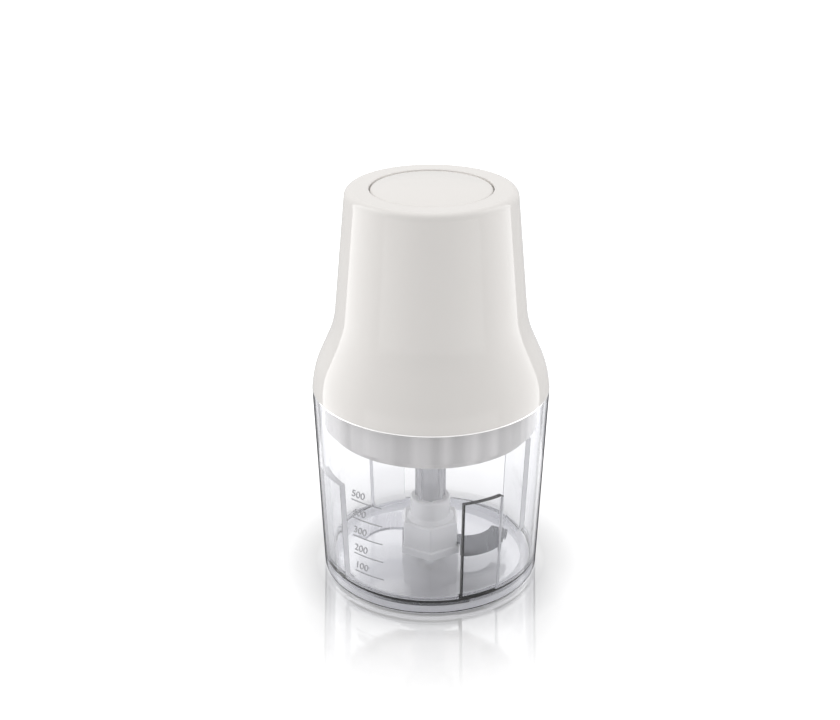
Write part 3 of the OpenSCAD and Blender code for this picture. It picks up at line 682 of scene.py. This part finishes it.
def clear_plastic(name):
    """Clear polished plastic: painted shade makes it greyer and then dark where it is seen edge on,
    standing in for dark reflections, most so in a painted dark crescent on the floor's front edge."""
    n = Nodes(name)
    n.set(Transmission_Weight=1.0, IOR=CLEAR_IOR)
    facing = n.add("LayerWeight", Blend=0.5).outputs["Facing"]
    n.colours(facing, EDGE_PAINTED_SHADE_TINTS)
    n.roughness(n.noise(scale=120), 0.0, 0.03)
    n.bump(n.noise(scale=25, detail=1), height=0.02 * MM, strength=0.3)
    absorb = n.add("VolumeAbsorption", Color=(*BOWL_TINT, 1), Density=BOWL_DENSITY)
    n.link(absorb.outputs["Volume"], n.output.inputs["Volume"])
    # Painted dark crescent on the underside of the floor's front edge, and painted dark reflections where
    # the wall is seen edge on
    in_front = n.ramp(n.distance(FLOOR_EDGE_PLACE), *FLOOR_EDGE_FADE, 1.0, 0.0)
    underside = n.within(n.along("Z"), FLOOR_UNDER, FLOOR_EDGE_SLACK)
    painted_dark_crescent = n.join("MULTIPLY", n.ramp(facing, *FLOOR_EDGE), in_front)
    painted_dark_crescent = n.join("MULTIPLY", painted_dark_crescent, underside)
    surface = n.shader.outputs["BSDF"]
    for share, dark in ((n.ramp(facing, *WALL_EDGE), WALL_PAINTED_DARK), (painted_dark_crescent, FLOOR_PAINTED_DARK)):
        surface = n.mix(share, surface, n.plain("BsdfDiffuse", dark))
    n.show_clear(surface, PALE)
    return n.material


BLADE_LOOK = {"rough": (0.16, 0.34), "stretch": (16, 1, 1)}
TURNED_METAL = {"stretch": (1, 1, 25)}
# Kind and look of each finish: first the record's slots, then those of some faces only
FINISHES = {
    "clear_bowl": (clear_plastic, {}),
    "hub_plastic": (milky_plastic, {
        "colour": (0.99, 0.99, 0.99), "rough": (0.06, 0.16), "clear": 0.15, "milk": 0.1,
    }),
    "white_shell": (moulded, {
        "colour": (0.78, 0.755, 0.73), "rough": (0.05, 0.08), "height": 0.002 * MM, "shade": 0.985,
        "IOR": 1.5,
    }),
    # Painted sheen: the collar's upright light and dark streaks stand in for reflections
    "collar_plastic": (satin, {"colour": (0.86, 0.84, 0.82), "rough": (0.1, 0.18), "shade": 0.74}),
    "dark_rubber": (moulded, {"colour": (0.012, 0.012, 0.013), "rough": (0.55, 0.7), "shade": 0.8}),
    "foot_rubber": (milky_plastic, {
        "colour": (0.8, 0.8, 0.82), "rough": (0.4, 0.55), "clear": 0.0, "milk": 0.5,
    }),
    "steel": (brushed, {"colour": (0.62, 0.63, 0.64)}),
    # The two blades are one steel: the lower one is painted darker, a painted shade, and the upper one
    # brighter, a painted reflection
    "blade_steel": (brushed, {"colour": (0.28, 0.285, 0.305), **BLADE_LOOK}),
    "core_steel": (layered, {"colour": (0.32, 0.33, 0.35), "lines": 400}),
    "bracket_metal": (moulded, {"colour": (0.5, 0.51, 0.53), "rough": (0.35, 0.5), "Metallic": 1.0}),
    "bronze": (brushed, {"colour": (0.7, 0.66, 0.6), **TURNED_METAL}),
    "brass": (brushed, {"colour": (0.62, 0.47, 0.2), **TURNED_METAL}),
    "copper_wire": (layered, {"colour": (0.6, 0.27, 0.12), "lines": 350, "rough": (0.25, 0.4)}),
    "carbon": (moulded, {"colour": (0.03, 0.03, 0.032), "rough": (0.5, 0.7), "grain": 1500}),
    "gear_plastic": (moulded, {"colour": (0.66, 0.64, 0.58), "rough": (0.3, 0.45)}),
    "inner_plastic": (moulded, {"colour": (0.58, 0.58, 0.57), "rough": (0.35, 0.5)}),
    "black_plastic": (moulded, {"colour": (0.02, 0.02, 0.022), "rough": (0.35, 0.5)}),
    "red_plastic": (moulded, {"colour": (0.62, 0.08, 0.04), "rough": (0.3, 0.4)}),
    # Painted reflection: the upper blade's steel made brighter than the lower one's
    "bright_blade": (brushed, {"colour": (0.88, 0.88, 0.92), "shade": 0.9, **BLADE_LOOK}),
    "column_grey": (milky_plastic, {
        "colour": (0.62, 0.62, 0.64), "rough": (0.03, 0.08), "clear": 0.5, "milk": 0.1,
    }),
    "mark_grey": (moulded, {"colour": (0.4, 0.4, 0.42), "rough": (0.35, 0.5)}),
    # Painted highlight: a white, mostly metallic band on the rim's top
    "rim_edge": (moulded, {"colour": (0.98, 0.975, 0.97), "rough": (0.1, 0.2), "Metallic": 0.8}),
    # Painted highlight lines, and painted dark reflection lines, along the pads' edges
    "pad_edge": (moulded, {"colour": (0.86, 0.86, 0.88)}),
    "dark_edge": (moulded, {"colour": (0.012, 0.012, 0.014), "rough": (0.3, 0.4), "IOR": 1.2}),
}
MATERIALS = {name: kind(name, **look) for name, (kind, look) in FINISHES.items()}


def slot_of(node):
    """Material slot that the record gives a CAD node."""
    return next(p["material_slot"] for p in frame["record"]["subparts"] if p["node"] == node)


def dress_nodes():
    """Gives every CAD node the material of its slot."""
    for name, node in frame["nodes"].items():
        node.data.materials.clear()
        node.data.materials.append(MATERIALS[slot_of(name)])


# Pieces

def piece(obj, body, slot, *nodes, finish=None):
    """A finished piece: it rides on a body and stands for CAD nodes. Its finish is its slot's, if no
    other is named."""
    obj.data.materials.clear()
    obj.data.materials.append(MATERIALS[finish or slot])
    normals = obj.modifiers.new("normals", "WEIGHTED_NORMAL")
    normals.keep_sharp = True
    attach(obj, body)
    if nodes:
        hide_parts(*nodes)
    return obj


def finish_faces(obj, finishes, choose):
    """Gives each face of a piece the finish that choose(centre) names out of finishes."""
    obj.data.materials.clear()
    for finish in finishes:
        obj.data.materials.append(MATERIALS[finish])
    for face in obj.data.polygons:
        face.material_index = finishes.index(choose(face.center))


# Bowl

def bowl_r(z):
    """Radius of the bowl's outside at a height."""
    return BASE_R + (RIM_R - BASE_R) * z / BOWL_H


def nearest_pad(angle):
    """Number of the pad nearest to an angle, and how far the angle is off the pad's middle."""
    gap = TURN / PADS
    past = angle - PAD_TURN + gap / 2
    return int(past % TURN // gap), past % gap - gap / 2


def pad_inside(off):
    """Distance in from a pad's side edge, at an angle off its middle."""
    return (PAD_HALF - abs(off)) * BASE_R


def step_share(distance):
    """Share of a pad's thickness at a distance in from its edge."""
    if distance <= PAD_STEP[0][0]:
        return 0
    for (d0, s0), (d1, s1) in zip(PAD_STEP, PAD_STEP[1:]):
        if distance <= d1:
            return s0 + (s1 - s0) * (distance - d0) / (d1 - d0)
    return 1


def pad_depth(angle):
    """How far the inner wall stands in at an angle."""
    _, off = nearest_pad(angle)
    return PAD_T * step_share(pad_inside(off))


def bowl_angles():
    """Even angles, with more at the pads' edges."""
    edges = [PAD_TURN + TURN * k / PADS + side * PAD_HALF for k in range(PADS) for side in (-1, 1)]
    fine = [(e + d / BASE_R) % TURN for e in edges for step, _ in PAD_STEP for d in (step, -step)]
    return sorted(set(round(a, ANGLE_DIGITS) for a in even_angles() + fine))


def bowl_finish(p):
    """Finish of the bowl's face at p: clear, the rim's painted highlight band, or a painted line along a
    pad's edge, pale as a highlight or, on one pad, dark as a painted dark reflection.
    """
    if p.z > BOWL_H - RIM_HIGHLIGHT_LINE:
        return "rim_edge"
    if p.xy.length > bowl_r(p.z) - WALL - WALL_SLACK or p.z < FLOOR_Z + FLOOR_SLACK:
        return "clear_bowl"
    number, off = nearest_pad(math.atan2(p.y, p.x) % TURN)
    inside = pad_inside(off)
    from_top = abs(p.z - PAD_TOP)
    # On one pad the lines are wide and dark on its left and top: a painted dark reflection
    dark = number == PAD_WITH_PAINTED_SHADE and (off < 0 or from_top < TOP_LINE_H)
    width = PAINTED_SHADE_LINE_W if dark else PAINTED_HIGHLIGHT_LINE_W
    on_side = abs(inside) < width and p.z < PAD_TOP
    on_top = inside > -width and from_top < min(width, TOP_LINE_H)
    if not on_side and not on_top:
        return "clear_bowl"
    return "dark_edge" if dark else "pad_edge"


def clear_bowl():
    """Wall, floor, boss and inner pads, turned as one outline from the pin round to the pin."""
    corner_z = FLOOR_Z + FLOOR_ROUND
    corner_r = bowl_r(corner_z) - WALL
    outside = rounded([
        (PIN_R, FLOOR_UNDER, 0),
        (FOOT_R, FLOOR_UNDER, BOWL_ROUND),
        (FOOT_R, EDGE_Z, BOWL_ROUND),
        (bowl_r(EDGE_Z), EDGE_Z, SKIRT_ROUND),
        (RIM_R, BOWL_H, BOWL_ROUND),
        (RIM_R - WALL, BOWL_H, BOWL_ROUND),
        (corner_r, corner_z, 0),
    ])[:-1]
    wall = [(bowl_r(PAD_TOP - d) - WALL, PAD_TOP - d, share) for d, share in PAD_STEP]
    bend = on_arc((corner_r - FLOOR_ROUND, corner_z), FLOOR_ROUND, 0, -90, FLOOR_STEPS)
    inside = rounded([
        (corner_r - FLOOR_ROUND - 2 * PAD_T, FLOOR_Z, 0),
        (BOSS_R, FLOOR_Z, BOSS_FOOT_ROUND),
        (BOSS_R, FLOOR_Z + BOSS_H, BOSS_TOP_ROUND),
        (PIN_R, FLOOR_Z + BOSS_H, 0),
    ])
    rows = [*outside, *wall, *[(p.x, p.y, 1) for p in bend], *inside]
    bowl = as_object("clear_bowl", turned(rows, bowl_angles(), pad_depth))
    piece(bowl, "bowl", slot_of("bowl"), "bowl")
    finish_faces(bowl, ["clear_bowl", "rim_edge", "pad_edge", "dark_edge"], bowl_finish)


def on_bowl(along, up, out):
    """Point on the bowl's outside: along the scale from its start, up from the table and out
    from the wall."""
    angle = TICK_START + along / bowl_r(up)
    r = bowl_r(up) + out
    return r * math.cos(angle), r * math.sin(angle), up


def scale_tick(bm, z):
    """Raised line of the scale, wrapped onto the wall."""
    length = TICK_TURN * bowl_r(z)
    foot, top = TICK_W / 2, TICK_TOP_W / 2
    section = [(-foot, -MARK_SUNK), (foot, -MARK_SUNK), (top, MARK_PROUD), (-top, MARK_PROUD)]
    loops = []
    for s in range(TICK_STEPS + 1):
        along = length * s / TICK_STEPS
        loops.append([bm.verts.new(on_bowl(along, z + up, out)) for up, out in section])
    skin(bm, loops)


def scale_number(bm, value, z):
    """Raised number over a mark, wrapped onto the wall."""
    font = bpy.data.curves.new(f"number_{value}", "FONT")
    font.body = str(value)
    font.shear = DIGIT_SHEAR
    font.size = DIGIT_H / DIGIT_SHARE
    font.extrude = (MARK_PROUD + MARK_SUNK) / 2
    text = bpy.data.objects.new(f"number_{value}", font)
    bpy.context.scene.collection.objects.link(text)
    bpy.context.view_layer.update()
    mesh = bpy.data.meshes.new_from_object(text.evaluated_get(bpy.context.evaluated_depsgraph_get()))
    bpy.data.objects.remove(text)
    middle = (MARK_PROUD - MARK_SUNK) / 2
    for v in mesh.vertices:
        v.co = on_bowl(v.co.x, z + DIGIT_RISE + v.co.y, middle + v.co.z)
    bm.from_mesh(mesh)
    bpy.data.meshes.remove(mesh)


def volume_scale():
    """Marks of the scale, each with its number of millilitres."""
    bm = bmesh.new()
    for k in range(TICKS):
        z = TICK_FIRST + k * TICK_PITCH
        scale_tick(bm, z)
        scale_number(bm, ML_STEP * (k + 1), z)
    piece(as_object("volume_scale", bm), "bowl", slot_of("bowl"), finish="mark_grey")


def foot_ring():
    """Soft ring under the floor."""
    inner_r, outer_r = FOOT_R - FOOT_W, FOOT_R - FOOT_GAP
    outline = rounded([
        (inner_r, 0, FOOT_ROUND),
        (outer_r, 0, FOOT_ROUND),
        (outer_r, FLOOR_UNDER, FOOT_TOP_ROUND),
        (inner_r, FLOOR_UNDER, FOOT_TOP_ROUND),
    ])
    piece(as_object("foot_ring_rubber", turned(outline)), "bowl", slot_of("foot_ring"), "foot_ring")


# Blade unit

def column_outline():
    """Round core with ribs, from one rib to the next."""
    half = RIB_W / 2
    start = math.degrees(math.asin(half / CORE_R))
    end = 360 / COLUMN_RIBS - start
    points = []
    for k in range(COLUMN_RIBS):
        spin = Matrix.Rotation(TURN * k / COLUMN_RIBS, 2)
        points += [spin @ Vector((COLUMN_R, -half)), spin @ Vector((COLUMN_R, half))]
        points += [spin @ p for p in on_arc((0, 0), CORE_R, start, end, CORE_STEPS)]
    return points


def hub_finish(p):
    """Finish of the hub's face at p: the column and the dog are greyer."""
    return "column_grey" if p.z > GRIP_TOP + GRIP_SLACK else "hub_plastic"


def blade_hub():
    """Hexagonal block on its flange, with the finger grip, the ribbed column and the drive dog."""
    block = prism(hexagon(HUB_R, HUB_ROUND), HUB_Z + OVERLAP, HUB_TOP, HUB_EDGE)
    flange = prism(hexagon(FLANGE_R, HUB_ROUND), HUB_Z, LOW_BLADE_Z - FLANGE_GAP, FLANGE_EDGE)
    grip = turned(rounded([
        (0, HUB_TOP - OVERLAP, 0),
        (GRIP_R + CROWN_W, HUB_TOP - OVERLAP, 0),
        (GRIP_R, HUB_TOP + CROWN_H, CROWN_ROUND),
        (GRIP_R, GRIP_TOP, GRIP_ROUND),
        (0, GRIP_TOP, 0),
    ]), even_angles(GRIP_SIDES))
    column = prism(column_outline(), GRIP_TOP - OVERLAP, COLUMN_TOP, COLUMN_EDGE)
    dog = prism(hexagon(DOG_AF / math.sqrt(3), DOG_ROUND), COLUMN_TOP - OVERLAP, DOG_TOP, DOG_EDGE)
    recess = prism(circle(RECESS_R), HUB_Z - OVERLAP, HUB_Z + RECESS_H)
    bore = prism(circle(BUSH_R), HUB_Z - OVERLAP, BUSH_TOP)
    hub = combine(as_object("blade_hub_body", block), "UNION", flange, grip, column, dog)
    hub = combine(hub, "DIFFERENCE", recess, bore)
    piece(hub, "blade_unit", slot_of("blade_hub"), "blade_hub")
    finish_faces(hub, ["hub_plastic", "column_grey"], hub_finish)


def blade_curve(centre, radius, end_deg):
    """Arc from the blade's root line to its tip."""
    root_deg = -math.degrees(math.acos((BLADE_ROOT - centre.x) / radius))
    return on_arc(centre, radius, root_deg, end_deg, BLADE_STEPS)


def blade_wing(low, spin):
    """Sickle of a blade, ground thin along its outward curve."""
    bm = bmesh.new()
    high = low + BLADE_T
    outer = blade_curve(BLADE_OUT_C, BLADE_OUT_R, BLADE_OUT_END_DEG)
    inner = blade_curve(BLADE_IN_C, BLADE_IN_R, BLADE_IN_END_DEG)
    loops = []
    for far, near in zip(outer, inner):
        width = (near - far).length
        ridge = far + (near - far) * min(BLADE_GRIND / width, GRIND_SHARE)
        section = [(near, low), (near, high), (ridge, high), (far, low + BLADE_EDGE_T), (far, low)]
        loops.append([bm.verts.new(spin @ Vector((*p, z))) for p, z in section])
    skin(bm, loops)
    return bm


def blade(name, low, turn, node, finish):
    """Blade with its tang and disc in the hub."""
    spin = Matrix.Rotation(turn, 3, "Z")
    high = low + BLADE_T
    tang_end = BLADE_ROOT + OVERLAP
    corners = [(0, -BLADE_TANG_W), (tang_end, -BLADE_TANG_W), (tang_end, 0), (0, 0)]
    tang = prism([(spin @ Vector((*corner, 0))).xy for corner in corners], low, high)
    disc = prism(circle(BLADE_DISC_R, DISC_SIDES), low, high)
    bore = prism(circle(BUSH_R), low - BLADE_T, high + BLADE_T)
    whole = combine(as_object(name, blade_wing(low, spin)), "UNION", tang, disc)
    whole = combine(whole, "DIFFERENCE", bore)
    piece(whole, "blade_unit", slot_of(node), node, finish=finish)


# Motor unit

def towards(deg):
    """Direction at an angle."""
    return Vector((math.cos(math.radians(deg)), math.sin(math.radians(deg))))


def housing_line(inset):
    """Housing outline from the rim to the top face, set inward."""
    shoulder_c = Vector((HOUSING_R, BOWL_H)) - SHOULDER_R * towards(HOUSING_DEG)
    flare_start = shoulder_c + SHOULDER_R * towards(FLARE_DEG)
    flare_end = flare_start + FLARE_L * Vector((-math.tan(math.radians(FLARE_DEG)), 1))
    waist_c = flare_end + WAIST_R * towards(FLARE_DEG)
    neck = waist_c - WAIST_R * towards(NECK_DEG)
    shoulder = SHOULDER_R - inset
    rim_deg = math.degrees(math.asin(SHOULDER_R * math.sin(math.radians(HOUSING_DEG)) / shoulder))
    edge = max(TOP_ROUND - inset, TOP_LEAST_ROUND)
    edge_z = TOP_Z - inset - edge
    slope, tilt = math.tan(math.radians(NECK_DEG)), math.cos(math.radians(NECK_DEG))
    neck_r = neck.x - (edge_z - neck.y) * slope - inset / tilt
    return [
        *on_arc(shoulder_c, shoulder, rim_deg, FLARE_DEG, HOUSING_STEPS),
        *on_arc(waist_c, WAIST_R + inset, 180 + FLARE_DEG, 180 + NECK_DEG, HOUSING_STEPS),
        *on_arc((neck_r - edge / tilt, edge_z), edge, NECK_DEG, 90, TOP_STEPS),
    ]


def vent_cutter(z):
    """Block that opens one slot behind, at +Y."""
    start, end = BACK_DEG - VENT_HALF_DEG, BACK_DEG + VENT_HALF_DEG
    inner = on_arc((0, 0), VENT_INNER_R, start, end, VENT_STEPS)
    outer = on_arc((0, 0), RIM_R, end, start, VENT_STEPS)
    return prism([*inner, *outer], z, z + VENT_H)


def on_back(bm):
    """Turns a mesh made about Z so that it points backwards, with its zero on the gland's face."""
    place = Matrix.Translation((0, GLAND_FACE, GLAND_Z)) @ Matrix.Rotation(-TURN / 4, 4, "X")
    bmesh.ops.transform(bm, matrix=place, verts=bm.verts)
    return bm


def motor_housing():
    """Bell-shaped shell with the button's opening, the gland's pad and the vents."""
    opening = rounded([
        (OPENING_R + SHELL_T, TOP_Z, 0),
        (OPENING_R, TOP_Z, OPENING_ROUND),
        (OPENING_R, TOP_Z - SHELL_T, 0),
    ])[1:]
    rows = [*housing_line(0), *opening, *reversed(housing_line(SHELL_T))]
    pad = on_back(turned(rounded([
        (0, -GLAND_PAD_T, 0),
        (GLAND_PAD_R, -GLAND_PAD_T, 0),
        (GLAND_PAD_R, 0, GLAND_PAD_ROUND),
        (0, 0, 0),
    ]), even_angles(GLAND_SIDES)))
    bore = on_back(prism(circle(GLAND_NECK_R), -2 * GLAND_PAD_T, GLAND_PAD_T))
    vents = [vent_cutter(GLAND_Z + VENT_RISE + k * VENT_PITCH) for k in range(VENTS)]
    shell = combine(as_object("motor_housing_shell", turned(rows)), "UNION", pad)
    shell = combine(shell, "DIFFERENCE", bore, *vents)
    piece(shell, "motor_unit", slot_of("motor_housing"), "motor_housing")


def cord_gland():
    """Ring that lines the cord's hole, with its nut inside the housing."""
    back = -GLAND_PAD_T - GLAND_FLANGE_T
    outline = rounded([
        (GLAND_BORE_R, back, 0),
        (GLAND_NUT_R, back, GLAND_NUT_ROUND),
        (GLAND_NUT_R, -GLAND_PAD_T, 0),
        (GLAND_NECK_R, -GLAND_PAD_T, 0),
        (GLAND_NECK_R, 0, 0),
        (GLAND_FLANGE_R, 0, 0),
        (GLAND_FLANGE_R, GLAND_FLANGE_T, GLAND_FLANGE_ROUND),
        (GLAND_BORE_R, GLAND_FLANGE_T, GLAND_BORE_ROUND),
    ])
    gland = as_object("cord_gland_ring", on_back(turned(outline, even_angles(GLAND_SIDES))))
    piece(gland, "motor_unit", slot_of("cord_gland"), "cord_gland")


def push_button():
    """Domed cap with its catch under the housing's top and its stem on the switch."""
    crown_r = (BUTTON_R ** 2 + BUTTON_CROWN ** 2) / (2 * BUTTON_CROWN)
    edge_deg = math.degrees(math.acos((BUTTON_R - BUTTON_EDGE_W) / crown_r))
    crown = on_arc((0, BUTTON_HIGH.z - crown_r), crown_r, 90, edge_deg, BUTTON_STEPS)
    crown[0].x = 0
    edge = crown[-1]
    inner_r = BUTTON_R - BUTTON_WALL
    side = rounded([
        (edge.x, edge.y, 0),
        (BUTTON_R, edge.y - BUTTON_EDGE_DROP, BUTTON_ROUND),
        (BUTTON_R, CATCH_TOP, 0),
        (CATCH_R, CATCH_TOP, CATCH_ROUND),
        (CATCH_R, CATCH_TOP - CATCH_T, CATCH_ROUND),
        (inner_r, CATCH_TOP - CATCH_T, 0),
        (inner_r, BUTTON_UNDER, 0),
        (STEM_R, BUTTON_UNDER, 0),
        (STEM_R, BUTTON_LOW.z, 0),
        (0, BUTTON_LOW.z, 0),
    ])[1:]
    cap = as_object("push_button_cap", turned([*crown, *side]))
    piece(cap, "button", slot_of("push_button"), "push_button")


def button_spring():
    """Spring under the button, which shortens as the button goes down."""
    low, high = SPRING_LOW.z + SPRING_WIRE_R, SPRING_HIGH.z - SPRING_WIRE_R
    wire = coil(SPRING_HIGH.x - SPRING_WIRE_R, SPRING_WIRE_R, low, high, SPRING_TURNS)
    spring = as_object("button_spring_coil", wire)
    piece(spring, "motor_unit", slot_of("button_spring"), "button_spring")
    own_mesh(spring)


# Stage, lights and camera

def sheet(name, corners, material):
    """Flat face of the stage."""
    mesh = bpy.data.meshes.new(name)
    mesh.from_pydata(corners, [], [tuple(range(len(corners)))])
    mesh.materials.append(material)
    obj = bpy.data.objects.new(name, mesh)
    bpy.context.scene.collection.objects.link(obj)
    return obj


def table_top():
    """White glossy table top: its shine fades away from the object, and its glow, which only the eye sees,
    is painted darker near and under the object as a shadow.
    """
    n = Nodes("table_top")
    n.set(Base_Color=(0.8, 0.8, 0.8, 1), Roughness=0.6, Specular_IOR_Level=0.0)
    middle = n.distance((0, 0, 0))
    # Painted shadow: the glow is low near the middle and lowest round the place under the bowl
    level = n.ramp(middle, *NEAR_FADE, high=NEAR_GLOW)
    n.link(n.ramp(n.distance(PAINTED_SHADOW_PLACE), *PAINTED_SHADOW_FADE, *PAINTED_SHADOW_GLOWS), level.node.inputs["To Min"])
    for fade, added in GLOWS:
        level = n.join("ADD", level, n.ramp(middle, *fade, high=added))
    both = n.add("AddShader")
    n.link(n.shader.outputs["BSDF"], both.inputs[0])
    n.link(n.glow(n.join("MULTIPLY", any_ray(n.tree, *SEEN_RAYS), level)), both.inputs[1])
    shine = n.plain("BsdfGlossy", (1, 1, 1), Roughness=0.05)
    n.show(n.mix(n.ramp(middle, *SHINE_FADE, FLOOR_SHINE, 0.0), both.outputs["Shader"], shine))
    return n.material


def floor():
    """Table top that the object stands on."""
    r = FLOOR_REACH
    sheet("floor", [(-r, -r, 0), (r, -r, 0), (r, r, 0), (-r, r, 0)], table_top())


def studio_world():
    """Even light from all round, and plain white where the camera sees the world."""
    world = bpy.data.worlds.new("studio")
    bpy.context.scene.world = world
    world.use_nodes = True
    tree = world.node_tree
    light = tree.nodes["Background"]
    white = tree.nodes.new("ShaderNodeBackground")
    for background, strength in ((light, AMBIENT), (white, 1)):
        background.inputs["Color"].default_value = (1, 1, 1, 1)
        background.inputs["Strength"].default_value = strength
    mix = tree.nodes.new("ShaderNodeMixShader")
    tree.links.new(any_ray(tree, *SEEN_RAYS), mix.inputs["Fac"])
    tree.links.new(light.outputs["Background"], mix.inputs[1])
    tree.links.new(white.outputs["Background"], mix.inputs[2])
    tree.links.new(mix.outputs["Shader"], tree.nodes["World Output"].inputs["Surface"])


def lamp(name, place, size, power):
    """Soft lamp turned to the object."""
    light = bpy.data.lights.new(name, "AREA")
    light.shape = "RECTANGLE"
    light.size, light.size_y = size
    light.energy = power
    obj = bpy.data.objects.new(name, light)
    obj.location = place
    obj.rotation_euler = (Vector(LAMP_TARGET) - Vector(place)).to_track_quat("-Z", "Y").to_euler()
    obj.visible_camera = False
    obj.visible_glossy = False
    obj.visible_transmission = False
    bpy.context.scene.collection.objects.link(obj)


def card(name, start, end, strengths):
    """Upright sheet that only reflections show. Its strength goes evenly from one end to the other."""
    n = Nodes(name)
    n.show(n.glow(n.ramp(n.along("Y"), start[1], end[1], *strengths)))
    obj = sheet(name, [(*start, 0), (*end, 0), (*end, CARD_H), (*start, CARD_H)], n.material)
    obj.visible_camera = False
    obj.visible_diffuse = False
    obj.visible_shadow = False
    obj.visible_transmission = False


def lights():
    """The world, the lamps and the cards."""
    studio_world()
    for name, setting in LAMPS.items():
        lamp(name, *setting)
    for name, setting in CARDS.items():
        card(name, *setting)


def camera():
    """Camera at the photograph's viewing angle."""
    data = bpy.data.cameras.new("camera")
    data.lens = CAMERA_LENS
    data.sensor_width = CAMERA_SENSOR
    obj = bpy.data.objects.new("camera", data)
    obj.location = CAMERA_PLACE
    obj.rotation_euler = (CAMERA_TILT, 0, 0)
    bpy.context.scene.collection.objects.link(obj)
    bpy.context.scene.camera = obj


bpy.context.scene.view_settings.view_transform = "Standard"
camera()
dress_nodes()
clear_bowl()
volume_scale()
foot_ring()
blade_hub()
# One steel for both blades, painted darker on the lower one as shade and brighter on the upper one as a
# reflection
blade("lower_blade_wing", LOW_BLADE_Z, 0, "lower_blade", "blade_steel")
blade("upper_blade_wing", UP_BLADE_Z, TURN / 2, "upper_blade", "bright_blade")
motor_housing()
cord_gland()
push_button()
button_spring()
floor()
lights()
